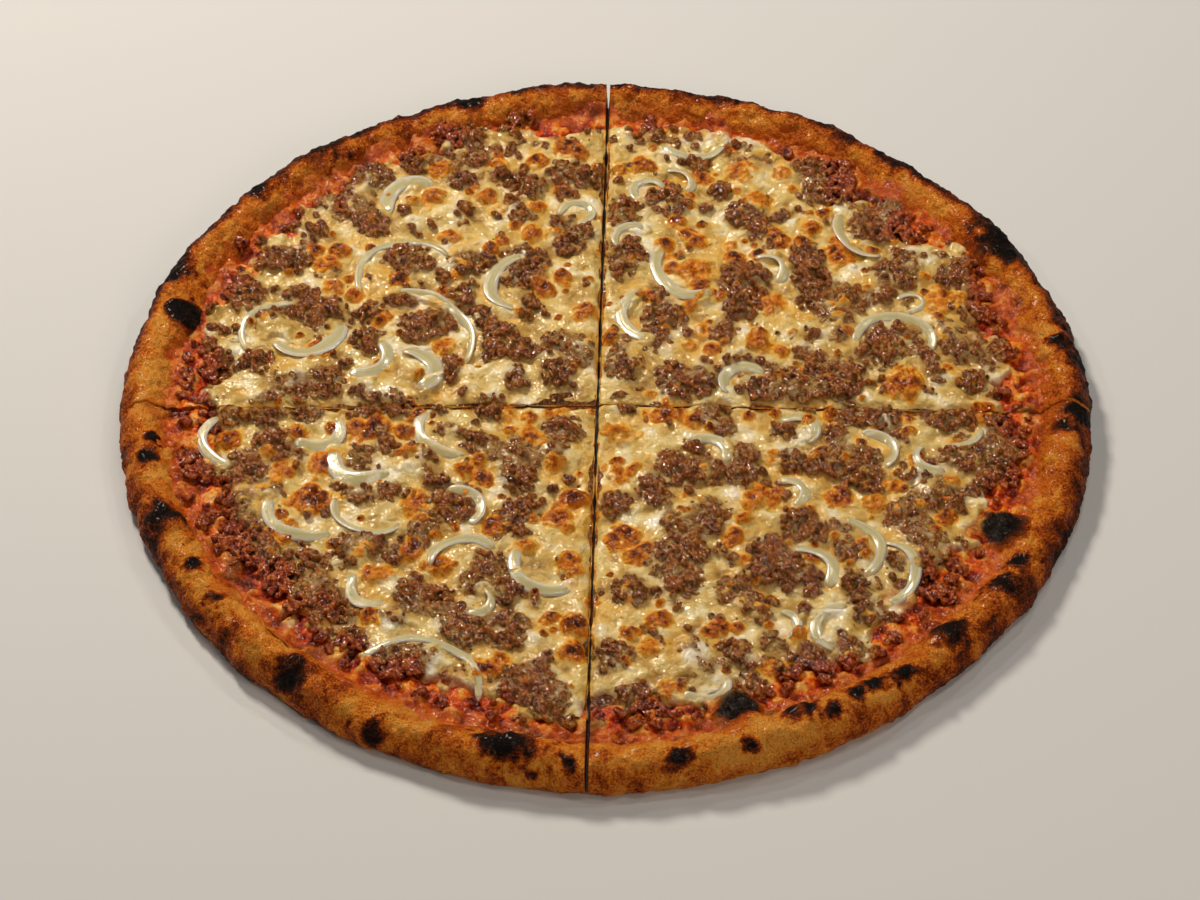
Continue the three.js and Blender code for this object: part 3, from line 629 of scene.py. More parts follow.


# %% [markdown]
# ### Browned minced beef
#
# Beef minced, fried loose and then baked. Each crumb has its own brown. The middles of the granules are
# painted lighter and the hollows between crumbs darker, painted light and painted shade that let the eye
# count them. Melted fat and onion juice have browned on it as an orange glaze in patches, cheese has smeared
# over its edges, and sauce has soaked in at the rim. A greasy coat over domed granules gives the many small
# glints of fat. The crumbs and granules are cells of 1 to 2 mm.


# %% Browned minced beef
def browned_mince(add):
    place = add(PLACE, out="Object")
    crumbs = add(CELLS, place, Scale=scale_for(2.0), out="Color")
    granule = add(CELLS, place, Scale=scale_for(1.3))
    fibre = add(NOISE, place, Scale=scale_for(1.1), Detail=4, Roughness=0.65, Distortion=0.4)
    fine = add(NOISE, place, Scale=scale_for(0.55), Roughness=0.6)
    patches = add(NOISE, place, Scale=scale_for(6.0))
    ragged = add(NOISE, place, Scale=scale_for(1.8), Detail=3, Roughness=0.6)
    beads = add(NOISE, place, Scale=scale_for(0.9), Detail=1)
    tone = add(MATH, add("ShaderNodeSeparateColor", crumbs), 0.3, operation="MULTIPLY")
    # Painted light and shade: the tone rises in the middle of each granule, falls at its edge, and falls more
    # where a crumb lies low between others.
    tone = shifted(
        add, tone, (fibre, 0.25, 0.75, 0.05, 0.5), (granule, 0.1, 0.7, 0.22, -0.16),
        (tint(add, "painted_crevice_shade"), 0, 1, 0.1, -0.5),
    )
    meat_with_painted_crevice_shade = add(RAMP, tone, stops=(
        (0.06, "#290F02"), (0.22, "#602A06"), (0.37, "#8D470C"), (0.52, "#AF5F14"),
        (0.68, "#CA7A22"), (0.86, "#E8A442"),
    ))
    glaze = add(RAMP, fibre, stops=((0.3, "#813505"), (0.55, "#CA6812"), (0.75, "#F5A030")))
    cheese = add(RAMP, fibre, stops=((0.3, "#AA722C"), (0.7, "#EEC66C")))
    sauce = add(RAMP, tone, stops=((0.2, "#681303"), (0.45, "#C33B0C"), (0.7, "#F17A24")))
    smear = shifted(add, tint(add, "smear"), (ragged, 0.4, 0.6, -0.35, 0.4))
    granules = domed(add, granule), 0.9
    return {
        "Base Color": layered(
            add, meat_with_painted_crevice_shade, (add(REMAP, patches, 0.5, 0.63, 0, 0.6), glaze),
            (add(REMAP, smear, 0.35, 0.75, 0, 0.8), cheese),
            (patchy(add, "sauced", fibre, 0.3, 0.6, 0.35, 1.0), sauce),
        ),
        "Roughness": add(REMAP, fine, 0.35, 0.65, 0.22, 0.5),
        "Normal": embossed(add, granules, (fibre, 1.3), (fine, 0.8)),
        "Specular IOR Level": 0.06,
        "Coat Weight": 0.9,
        "Coat Normal": embossed(add, granules, (beads, 0.35)),
        "Coat IOR": 1.7,
        "Coat Roughness": 0.14,
    }


# %% [markdown]
# ### Melted mozzarella
#
# Grated mozzarella that has melted together and browned. To the eye it is cream, clouded with yellow where
# it lies thin and where its fat has run, and a little light goes into it and softens its shade. Its ridges
# are painted paler and its hollows darker, painted light and painted shade that follow its relief. It browns
# where it bubbled up: the toasted domes run from gold over orange to dark brown, and their skin is knobbly.
# Where it thins over the mince or the sauce, their colours come through. A smooth coat is its film of fat.


# %% Melted mozzarella
def melted_cheese(add):
    place = add(PLACE, out="Object")
    cloud = add(NOISE, place, Scale=scale_for(9.0))
    fine = add(NOISE, place, Scale=scale_for(1.4), Detail=3, Roughness=0.6)
    speckle = add(NOISE, place, Scale=scale_for(0.8), Detail=3, Roughness=0.65)
    specks = add(NOISE, place, Scale=scale_for(1.9))
    strands = add(NOISE, place, Scale=scale_for(3.2), Roughness=0.45, Distortion=0.4)
    skin = add(NOISE, place, Scale=scale_for(0.9), Roughness=0.6)
    film = add(NOISE, place, Scale=scale_for(1.2), Detail=1)
    # Painted light and shade: the relief tint lifts the tone on ridges and lowers it in hollows.
    tone = shifted(add, weighed(add, (cloud, 0.92), (fine, 0.08)), (tint(add, "relief"), -1, 1, -0.13, 0.13))
    cream_with_painted_relief_shade = add(RAMP, tone, stops=(
        (0.28, "#AA8440"), (0.4, "#CCA85A"), (0.5, "#E0C67C"), (0.59, "#EEDEAE"), (0.69, "#F8F2DC"),
    ))
    toast = tint(add, "toast")
    lively = add(
        MATH, add(REMAP, speckle, 0.3, 0.7, -0.16, 0.16), add(REMAP, toast, 0.05, 0.4), operation="MULTIPLY",
    )
    toast = add(MATH, toast, lively, operation="ADD", use_clamp=True)
    toasted = add(RAMP, toast, stops=(
        (0.05, "#F6DA80"), (0.2, "#F8BC40"), (0.36, "#F49E1E"), (0.54, "#DE7C0E"),
        (0.74, "#B05408"), (0.96, "#5E2806"),
    ))
    over_mince = add(RAMP, fine, stops=((0.35, "#6A3E16"), (0.65, "#A07438")))
    over_sauce = add(RAMP, fine, stops=((0.35, "#A83A0C"), (0.65, "#D07A22")))
    oil = add(MATH, patchy(add, "oil", fine, 0.3, 0.7, 0.4, 1.0), 0.75, operation="MULTIPLY")
    knobs = domed(add, add(CELLS, place, Scale=scale_for(1.2)))
    knobs = add(MATH, knobs, add(REMAP, toast, 0.15, 0.6), operation="MULTIPLY")
    melt = (knobs, 0.75), (strands, 1.4)
    return {
        "Base Color": layered(
            add, cream_with_painted_relief_shade, (oil, colour("#E8B040")),
            (patchy(add, "fringe", fine, 0.35, 0.6, 0.55, 1.0), colour("#9A6E30")),
            (tint(add, "thin"), over_mince), (tint(add, "sauced"), over_sauce),
            (add(REMAP, toast, 0.03, 0.3), toasted), (add(REMAP, specks, 0.735, 0.76), colour("#5A3A1C")),
        ),
        "Roughness": add(REMAP, fine, 0.3, 0.7, 0.3, 0.5),
        "Normal": embossed(add, *melt, (skin, 0.22)),
        "Specular IOR Level": 0.06,
        "Subsurface Weight": 0.1,
        "Subsurface Scale": 1.2 * MM,
        "Subsurface Radius": (1.0, 0.6, 0.25),
        "Coat Weight": 0.7,
        "Coat Normal": embossed(add, *melt, (film, 0.4)),
        "Coat IOR": 1.6,
        "Coat Roughness": 0.15,
    }


# %% [markdown]
# ### Baked onion
#
# White onion sliced into crescents and baked until it softened. To the eye it is pale and glassy, greener
# yellow along its middle and nearly white at its edges, with fine veins along it, a wet shine and ends
# that have begun to brown. The near white along the edges is a painted highlight. Much of the light goes into
# it, so its shade is soft. Light passing right through would be truer, but it showed the dark layers below
# and turned the strips grey.


# %% Baked onion
def baked_onion(add):
    place = add(PLACE, out="Object")
    across = add(MATH, tint(add, "vein"), 5.0, operation="MULTIPLY")
    veins = add(NOISE, across, Scale=1.0, Detail=3, noise_dimensions="1D")
    blotches = add(NOISE, place, Scale=scale_for(4.0))
    skin = add(NOISE, place, Scale=scale_for(0.9))
    side = shifted(add, tint(add, "side"), (veins, 0.3, 0.7, -0.25, 0.25))
    # Painted highlight: the colour runs to near white at the strip's edges.
    glassy_with_painted_edge_highlight = add(RAMP, side, stops=((0.05, "#D2C58E"), (0.5, "#E0D5A6"), (0.8, "#EEE6C8"), (1.0, "#FAF6E8")))
    yellowed = add(REMAP, blotches, 0.4, 0.75, 0, 0.4), colour("#D3C187")
    browned = tint(add, "toast"), colour("#C38C43")
    return {
        "Base Color": layered(add, glassy_with_painted_edge_highlight, yellowed, browned),
        "Roughness": 0.16,
        "Normal": embossed(add, (veins, 0.12), (skin, 0.12)),
        "Subsurface Weight": 0.8,
        "Subsurface Scale": 3 * MM,
        "Subsurface Radius": (1.0, 0.9, 0.5),
        "Coat Weight": 0.9,
        "Coat Roughness": 0.12,
    }


# %% Make the five finishes
DOUGH = new_material("Baked dough", baked_dough)
SAUCE = new_material("Tomato sauce", tomato_sauce)
MINCE = new_material("Browned minced beef", browned_mince)
CHEESE = new_material("Melted mozzarella", melted_cheese)
ONION = new_material("Baked onion", baked_onion)
print("materials:", [made.name for made in bpy.data.materials])

# %% [markdown]
# ## Onion strips: where they lie
#
# Each strip of the frame is an arc, an even slice of a round onion layer. Its course could be written down
# again here, but a circle fitted to the node's corners gives back its middle line and keeps the two alike.

# %% Fit an arc to each onion node
SLIMMER = 0.62
STRIP_SAMPLES = 24


def arc_of(node_name):
    """Centre, radius, ends, width and floor of the arc that a strip's node lies on."""
    points = coordinates(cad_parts[node_name].data) * 1000
    x, y = points[:, 0], points[:, 1]
    system = np.stack((x, y, np.ones_like(x)), axis=1)
    a, b, c = np.linalg.lstsq(system, x * x + y * y, rcond=None)[0]
    centre = np.array((a / 2, b / 2))
    radius = math.sqrt(c + centre @ centre)
    middle = math.atan2(y.mean() - centre[1], x.mean() - centre[0])
    turn = (np.arctan2(y - centre[1], x - centre[0]) - middle + math.pi) % (2 * math.pi) - math.pi
    spread = np.hypot(x - centre[0], y - centre[1]) - radius
    return {
        "name": node_name,
        "centre": centre,
        "radius": radius,
        "first": middle + turn.min(),
        "last": middle + turn.max(),
        "width": SLIMMER * (spread.max() - spread.min()),
        "floor": points[:, 2].min(),
    }


def arc_points(arc):
    """Points along a strip's middle line."""
    angles = np.linspace(arc["first"], arc["last"], STRIP_SAMPLES)
    x = arc["centre"][0] + arc["radius"] * np.cos(angles)
    y = arc["centre"][1] + arc["radius"] * np.sin(angles)
    return x, y


STRIPS = [arc_of(name) for name in sorted(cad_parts) if name.startswith("onion_")]
strip_x, strip_y = (np.concatenate(parts) for parts in zip(*(arc_points(arc) for arc in STRIPS)))
strip_half = np.repeat([arc["width"] / 2 for arc in STRIPS], STRIP_SAMPLES)
print("strips:", len(STRIPS), "widths:", round(min(strip_half) * 2, 1), "to", round(max(strip_half) * 2, 1))

# %% [markdown]
# ## Mince
#
# A clump is a heap of crumbs. It could be one bumpy lump, but then no single crumb would stand out of the
# cheese. So a Geometry Nodes tree makes each clump's point into a heap of small balls, each stretched and
# turned by chance, and a voxel remesh then melts the heap into one greasy, knobbly surface.

# %% The tree that heaps crumbs on a clump
CRUMB_INPUTS = (
    ("Geometry", "NodeSocketGeometry", None),
    ("Crumbs per square cm", "NodeSocketFloat", 42.0),
    ("Smallest crumb", "NodeSocketFloat", 0.7 * MM),
    ("Largest crumb", "NodeSocketFloat", 1.3 * MM),
    ("Heap height", "NodeSocketFloat", 2.4 * MM),
    ("Seed", "NodeSocketInt", 5),
    ("Material", "NodeSocketMaterial", None),
)
FULL_HEAP_PER_METRE = 180.0
SQUARE_CM_PER_SQUARE_METRE = 1e4


def crumb_tree():
    """Turns points that carry clump_radius into heaps of crumbs."""
    tree = bpy.data.node_groups.new("Heap of crumbs", "GeometryNodeTree")
    for label, kind, value in CRUMB_INPUTS:
        socket = tree.interface.new_socket(label, in_out="INPUT", socket_type=kind)
        if value is not None:
            socket.default_value = value
    tree.interface.new_socket("Geometry", in_out="OUTPUT", socket_type="NodeSocketGeometry")
    add = partial(add_node, tree)
    given = add("NodeGroupInput").node.outputs
    clump = add("GeometryNodeInputNamedAttribute", "clump_radius", data_type="FLOAT")

    def drawn(offset, low, high, kind="FLOAT"):
        """Draws a value for each crumb, each offset with a seed of its own."""
        seed = add(MATH, given["Seed"], float(offset), operation="ADD")
        return add("FunctionNodeRandomValue", low, high, Seed=seed, data_type=kind)

    area = add(MATH, clump, clump, operation="MULTIPLY")
    area = add(MATH, area, math.pi * SQUARE_CM_PER_SQUARE_METRE, operation="MULTIPLY")
    amount = add(MATH, area, given["Crumbs per square cm"], operation="MULTIPLY")
    copies = add("GeometryNodeDuplicateElements", given["Geometry"], Amount=amount, domain="POINT")
    size = drawn(1, given["Smallest crumb"], given["Largest crumb"])
    # The root of an even draw spreads the crumbs evenly over the disk, and the heap is highest in the middle.
    out = add(MATH, drawn(2, 0.0, 1.0), operation="SQRT")
    turn = drawn(3, 0.0, 2 * math.pi)
    reach = add(MATH, clump, add(MATH, size, 0.4, operation="MULTIPLY"), operation="SUBTRACT")
    reach = add(MATH, out, reach, operation="MULTIPLY")
    fullness = add(MATH, clump, FULL_HEAP_PER_METRE, operation="MULTIPLY", use_clamp=True)
    height = add(MATH, domed(add, out), given["Heap height"], operation="MULTIPLY")
    height = add(MATH, height, fullness, operation="MULTIPLY")
    height = add(MATH, height, drawn(4, -0.6 * MM, 0.8 * MM), operation="ADD")
    waves = [add(MATH, turn, operation=wave) for wave in ("COSINE", "SINE")]
    along_x, along_y = (add(MATH, reach, wave, operation="MULTIPLY") for wave in waves)
    offset = add("ShaderNodeCombineXYZ", along_x, along_y, height)
    moved = add("GeometryNodeSetPosition", copies, Offset=offset)
    ball = add("GeometryNodeMeshIcoSphere", 1.0, 2)
    stretch = drawn(5, (0.75, 0.75, 0.7), (1.2, 1.2, 1.05), "FLOAT_VECTOR")
    shape = add("ShaderNodeVectorMath", stretch, Scale=size, operation="SCALE")
    spin = drawn(6, (0.0, 0.0, 0.0), (6.28, 6.28, 6.28), "FLOAT_VECTOR")
    instances = add("GeometryNodeInstanceOnPoints", moved, Instance=ball, Rotation=spin, Scale=shape)
    real = add("GeometryNodeRealizeInstances", instances)
    add("NodeGroupOutput", add("GeometryNodeSetMaterial", real, Material=given["Material"]))
    return tree


# %% [markdown]
# The photograph's clumps stand where they were read off. Loose crumbs lie between them and, more of them,
# round the ring where the cheese ends.

# %% Heap the crumbs
CLUMP_SEAT = 8.1
CLUMP_SPREAD = 1.06
LOOSE_CRUMBS = 400
RING_CRUMBS = 420
BALL_POINTS, BALL_FACES = 42, 80
FULL_TURN = 2 * math.pi

draw = np.random.default_rng(8)
loose = scattered(
    133 * draw.random(LOOSE_CRUMBS) ** 0.42,
    draw.uniform(0, FULL_TURN, LOOSE_CRUMBS),
    draw.uniform(1.3, 2.6, LOOSE_CRUMBS),
)
ring = scattered(
    draw.uniform(117, 131, RING_CRUMBS),
    draw.uniform(0, FULL_TURN, RING_CRUMBS),
    draw.uniform(1.2, 2.8, RING_CRUMBS),
)
clump_places = np.concatenate((np.array(CLUMPS, dtype=float) * (1, 1, CLUMP_SPREAD), loose, ring))
seats = bpy.data.meshes.new("Clump seats")
seats.from_pydata([(x / 1000, y / 1000, CLUMP_SEAT / 1000) for x, y, _ in clump_places], [], [])
seats.attributes.new("clump_radius", "FLOAT", "POINT").data.foreach_set("value", clump_places[:, 2] / 1000)
heaper = link(bpy.data.objects.new("Clump seats", seats))
modifier = heaper.modifiers.new("Heap", "NODES")
modifier.node_group = crumb_tree()
for item in modifier.node_group.interface.items_tree:
    if item.in_out == "INPUT" and item.name == "Material":
        modifier[item.identifier] = MINCE
heaped = evaluated_mesh(heaper)
bpy.data.objects.remove(heaper)
balls = (coordinates(heaped) * 1000).reshape(-1, BALL_POINTS, 3)
ball_faces = np.array([tuple(face.vertices) for face in heaped.polygons[:BALL_FACES]])
print("crumbs:", len(balls))

# %% [markdown]
# A crumb that would cross an onion strip is pushed down under it, as the weight of the strip does, and
# crumbs sink towards a cut, where the knife has pressed on them. Those on the burnt blisters are gone.

# %% Settle the crumbs
SINK_AT_CUT, SINK_REACH = 2.8, 3.4
FAR = 99.0

middles = balls.mean(axis=1)
sizes = balls[:, :, 2].max(axis=1) - middles[:, 2]
from_strips = np.hypot(middles[:, :1] - strip_x, middles[:, 1:2] - strip_y) - strip_half
under = from_strips.min(axis=1) < sizes * 0.8
lowered = np.where(under, np.minimum(0, CHEESE_TOP - 0.6 - (middles[:, 2] + sizes)), 0)
from_cut = np.full(len(middles), FAR)
from_x, from_y = middles[:, 0] - CROSSING[0], middles[:, 1] - CROSSING[1]
for degrees in {turn for pair in SLICES.values() for turn in pair}:
    along = direction(degrees)
    ahead = from_x * along[0] + from_y * along[1] > 0
    aside = np.abs(from_x * along[1] - from_y * along[0])
    from_cut = np.where(ahead, np.minimum(from_cut, aside), from_cut)
lowered -= SINK_AT_CUT * np.clip(1 - from_cut / SINK_REACH, 0, 1)
for x, y, radius, _ in BIG_BLISTERS:
    lowered -= 5.0 * (np.hypot(middles[:, 0] - x, middles[:, 1] - y) < radius + 1)
balls[:, :, 2] += lowered[:, None]
print("crumbs lowered:", int((lowered < 0).sum()))

# %% [markdown]
# A crumb that reaches over a cut is cut off flat there. The heap of each quarter is then melted together,
# grain makes its surface craggy, and only what lies above the sauce is kept.

# %% Melt the crumbs together in each quarter
VOXEL = 0.43
CRAGS = 0.08 + 0.16 * grain(0.8, 11) + 0.12 * grain(0.42, 12)
MINCE_SHOWS_ABOVE = 6.6


def crumbs_of(name):
    """Points and faces of the crumbs whose middles lie in a quarter, cut off flat at its sides."""
    first, last = SLICES[name]
    from_first, from_last = depth_in(name, middles[:, 0], middles[:, 1])
    kept = balls[(from_first > 0) & (from_last > 0)].copy()
    points = kept.reshape(-1, 3)
    for side, inwards in enumerate((direction(first + 90), direction(last - 90))):
        depth = depth_in(name, points[:, 0], points[:, 1])[side]
        points[:, :2] += np.maximum(0, -depth)[:, None] * inwards
    faces = (ball_faces[None] + np.arange(len(kept))[:, None, None] * BALL_POINTS).reshape(-1, 3)
    return points, faces


def melted_heap(name):
    """Points and faces of a quarter's crumbs, melted together and craggy."""
    points, faces = crumbs_of(name)
    crumbs = bpy.data.meshes.new("Crumbs")
    crumbs.from_pydata((points * MM).tolist(), [], faces.tolist())
    heap = link(bpy.data.objects.new("Crumbs", crumbs))
    remesh = heap.modifiers.new("Melt", "REMESH")
    remesh.mode = "VOXEL"
    remesh.voxel_size = VOXEL * MM
    soften = heap.modifiers.new("Soften", "SMOOTH")
    soften.factor = 0.5
    soften.iterations = 2
    melted = evaluated_mesh(heap)
    bpy.data.objects.remove(heap)
    points = coordinates(melted) * 1000
    # Each point moves a little along its own normal, by grain that changes with height too.
    shifted_x, shifted_y = points[:, 0] + 1.7 * points[:, 2], points[:, 1] - 1.3 * points[:, 2]
    points += coordinates(melted, "normal") * sample(CRAGS, shifted_x, shifted_y)[:, None]
    return points, np.array([tuple(face.vertices) for face in melted.polygons])


def compacted(faces):
    """The numbers of the points that the faces use, and the faces with those points counted anew."""
    used, renumbered = np.unique(faces, return_inverse=True)
    return used, renumbered.reshape(faces.shape)


mince_meshes = {}
MINCE_MAP = np.full((COUNT, COUNT), 0.0)
for name in SLICES:
    points, quads = melted_heap(name)
    used, showing = compacted(quads[(points[quads, 2] > MINCE_SHOWS_ABOVE).any(axis=1)])
    points = points[used]
    mince_meshes[name] = (points, showing)
    column = ((points[:, 0] + HALF) / CELL).astype(int)
    row = ((points[:, 1] + HALF) / CELL).astype(int)
    np.maximum.at(MINCE_MAP, (row, column), points[:, 2])
    print("mince", name, len(showing), "faces")

# %% [markdown]
# ## The sauce's heights
#
# The sauce is worked out first, because the cheese lies on it. Under the toppings it is level. Outside them
# it swells into a pulpy ring, and from there it laps up the rim with a ragged edge. Three blisters of dough
# have risen through it and burnt.

# %% Heights and tints of the sauce
RIM_MAP = rim_top(MAP_ANGLE, MAP_INSET)
pulp = 0.5 * grain(1.5, 51) + 0.3 * grain(0.75, 52) + 0.14 * grain(0.4, 57)
ring_level = SAUCE_TOP + smoothstep(TOPPING_INSET + 6, TOPPING_INSET - 4, MAP_INSET) * (1.9 + pulp)
lap = 0.4 - (RIM_WIDTH - 0.5 - MAP_INSET + 2.4 * grain(4.0, 53) + 1.0 * grain(1.3, 56)) * 0.24
SAUCE_MAP = smooth_max(ring_level, np.where(MAP_INSET < RIM_WIDTH + 1, RIM_MAP + lap + 0.25 * pulp, 0), 0.8)
SAUCE_BAKE = smoothstep(0.9, 2.2, grain(2.2, 54)) * 0.6
BLISTER_RISE, BURNT = np.zeros_like(MAP_X), np.zeros_like(MAP_X)
from_blisters = np.full(MAP_X.shape, FAR)
uneven = 0.09 * grain(2.2, 58) + 0.05 * grain(0.8, 59)
for x, y, radius, rise in BIG_BLISTERS:
    area, away = near(x, y, radius * 2)
    share = away / radius * (1 + uneven[area])
    BLISTER_RISE[area] = np.maximum(BLISTER_RISE[area], rise * np.clip(1 - (share / 1.15) ** 2, 0, 1) ** 0.7)
    BURNT[area] = np.maximum(BURNT[area], smoothstep(1.3, 0.7, share))
    from_blisters[area] = np.minimum(from_blisters[area], (share - 1) * radius)
SAUCE_MAP = SAUCE_MAP + BLISTER_RISE
SAUCE_BAKE = np.maximum(SAUCE_BAKE, BURNT)
# A tint that the finish turns into painted light on the lumps and painted shade in the hollows.
SAUCE_RELIEF = np.clip(pulp / 0.8, -1, 1)
SAUCE_DRY = smoothstep(RIM_WIDTH + 5, RIM_WIDTH - 1, MAP_INSET + 1.2 * grain(2.0, 55)) * 0.8
print("sauce, highest point:", round(float(SAUCE_MAP.max()), 1), "mm")

# %% [markdown]
# ## Cheese
#
# The cheese is a sheet with its own swells and melted strands. A cloth simulation could lay it over the
# mince, but melted cheese also flows, so its height is a blurred copy of what lies below: where it lies thick
# a clump shows only as a lump, and where it is thin the crumbs break through.

# %% Swells, and the drape over the mince
mince_spread = np.maximum(MINCE_MAP, np.maximum(np.roll(MINCE_MAP, 1, 0), np.roll(MINCE_MAP, 1, 1)))
strands = 0.5 - 0.62 * np.abs(grain(2.3, 39) + 0.3 * grain(1.0, 40))
swell = 0.45 * grain(3.2, 21) + 0.24 * grain(1.3, 22) + 0.1 * grain(0.6, 23) + 0.5 * strands
level = CHEESE_TOP - 0.45 + swell
drape = blur(np.maximum(mince_spread, level), 2.1)
film = -0.95 + 0.7 * grain(4.5, 24) + 0.3 * grain(1.1, 25)
CHEESE_MAP = smooth_max(level, drape + film, 0.8)
close_drape = blur(np.maximum(mince_spread, level), 0.8) - 1.25 + 0.45 * grain(1.6, 46)
CHEESE_MAP = smooth_max(CHEESE_MAP, close_drape, 0.5)

# %% [markdown]
# Where steam bubbled up, the cheese set as lumpy domes and toasted: the photograph's domes, and many small
# ones between them. Each is browned by its own amount, most in its middle, and has a golden halo.

# %% Toasted domes
SMALL_DOMES = 260

draw = np.random.default_rng(26)
small = scattered(
    119 * np.sqrt(draw.random(SMALL_DOMES)),
    draw.uniform(0, FULL_TURN, SMALL_DOMES),
    1.1 + 1.7 * draw.random(SMALL_DOMES) ** 2,
)
dome, halo = np.zeros_like(MAP_X), np.zeros_like(MAP_X)
ragged = 0.15 * grain(1.8, 27) + 0.06 * grain(0.7, 28)
lumps = 1.8 + 0.45 * grain(0.9, 29) + 0.28 * grain(0.45, 47)
for x, y, radius in np.concatenate((np.array(TOASTED, dtype=float), small)):
    rise = min(1.0, 0.35 + 0.18 * radius)
    browned = draw.uniform(0.5, 1.2)
    area, away = near(x, y, radius * 1.9)
    share = away / radius * (1 + ragged[area])
    dome[area] = np.maximum(dome[area], rise * np.clip(1 - (share / 1.1) ** 2, 0, 1) ** 0.8)
    brown = 0.42 * smoothstep(1.45, 0.85, share) + 0.62 * np.clip(1 - share / 1.05, 0, 1)
    halo[area] = np.maximum(halo[area], browned * brown)
CHEESE_MAP = CHEESE_MAP + dome * lumps
relief = CHEESE_MAP - blur(CHEESE_MAP, 2.6)
print("toasted domes:", len(TOASTED) + SMALL_DOMES)

# %% [markdown]
# The onion strips went on last and sank in a little. The cheese laps up against them, here and there over
# them, and stays low right under them, so that a strip is not buried.

# %% Cheese round the onion strips
strip_map = np.full(MAP_X.shape, 9.0)
for x, y, half in zip(strip_x, strip_y, strip_half):
    area, away = near(x, y, half + 7)
    strip_map[area] = np.minimum(strip_map[area], away - half)
lapping = smoothstep(1.6, -0.3, strip_map + 0.5 * grain(1.5, 38))
covered = smoothstep(0.8, 1.4, grain(4.5, 44))
CHEESE_MAP = CHEESE_MAP + lapping * (0.25 + 0.2 * grain(2.0, 30) + 1.0 * covered)
under_strip = np.minimum(CHEESE_MAP, CHEESE_TOP + 0.4 + 1.9 * covered)
CHEESE_MAP = np.where(strip_map < 0, under_strip, CHEESE_MAP)

# %% [markdown]
# Towards the rim the cheese ends in a wandering edge. Where the photograph shows a ring of sauce, the edge
# draws back by the ring's width, and it also keeps clear of the burnt blisters. It thins out as it ends.

# %% The edge of the cheese
degrees = np.degrees(MAP_ANGLE) % 360
red = np.full(MAP_X.shape, 1.0)
for first_degree, last_degree, width in SAUCE_SHOWS:
    for turn in (0, 360):
        beyond = np.maximum(first_degree + turn - degrees, degrees - last_degree - turn)
        red = np.maximum(red, width * smoothstep(2.0, -1.5, beyond))
edge_wander = 2.2 * grain(3.4, 31) + 1.3 * grain(1.2, 32)
from_edge = np.minimum(MAP_INSET - RIM_WIDTH - red + edge_wander, from_blisters)
CHEESE_MAP = np.maximum(CHEESE_MAP, SAUCE_MAP + 0.5 + 0.2 * grain(1.3, 43))
CHEESE_MAP = CHEESE_MAP - 3.0 * smoothstep(3.2, -1.4, from_edge)

# %% [markdown]
# The tints: toast on domes and peaks, thin over mince, sauced towards the ring, a brown fringe round every
# bit of mince that breaks through, oil that gathered in the hollows and round the domes, and the relief,
# which the finish turns into painted light on the ridges and painted shade in the hollows.

# %% Tints of the cheese
peaks = smoothstep(0.2, 1.3, relief + 0.2 * grain(1.2, 34))
toast = halo * (0.95 + 0.25 * grain(0.55, 33))
hot_patches = smoothstep(-0.4, 0.9, grain(5.0, 35))
toast = np.maximum(toast, 0.5 * peaks * hot_patches * smoothstep(0.4, 2.0, strip_map))
sauced = smoothstep(7.0, 0.5, from_edge) * smoothstep(-0.8, 1.2, grain(2.2, 36)) * 0.7
CHEESE_TINTS = {
    "toast": np.clip(toast, 0, 1),
    "thin": 0.85 * smoothstep(1.5, 0.1, CHEESE_MAP - blur(mince_spread, 1.2) + 0.3 * grain(1.4, 48)),
    "sauced": np.maximum(sauced, 0.9 * smoothstep(2.6, 0.2, from_edge + 0.5 * grain(0.8, 34))),
    "oil": np.clip(smoothstep(0.5, 1.9, grain(3.0, 37) - 0.8 * relief) + 1.2 * blur(halo, 1.6), 0, 1),
    # Painted light and shade: the finish lightens the ridges and darkens the hollows by this tint.
    "relief": np.clip(relief, -1, 1),
    "fringe": 0.75 * smoothstep(0.06, 0.5, blur((MINCE_MAP > CHEESE_MAP - 0.2).astype(float), 1.5)),
}
print("tints of the cheese:", list(CHEESE_TINTS))

# %% [markdown]
# A quarter's cheese is a grid in step with its two cuts, so its edges are clean where the knife went. The
# knife has also rolled its upper edge down, and its two cut walls bulge a little, as soft cheese does.

# %% Cheese pieces
CHEESE_STEP = 0.42
ROLL_WIDTH, ROLL_DEPTH = 3.0, 2.1
ROLL_WANDER = 0.8 + 0.3 * grain(2.5, 41)
WALL_WANDER = 1 + 0.6 * grain(1.2, 42)
WALL_BULGE = 0.22
EDGE_REACH = -1.6


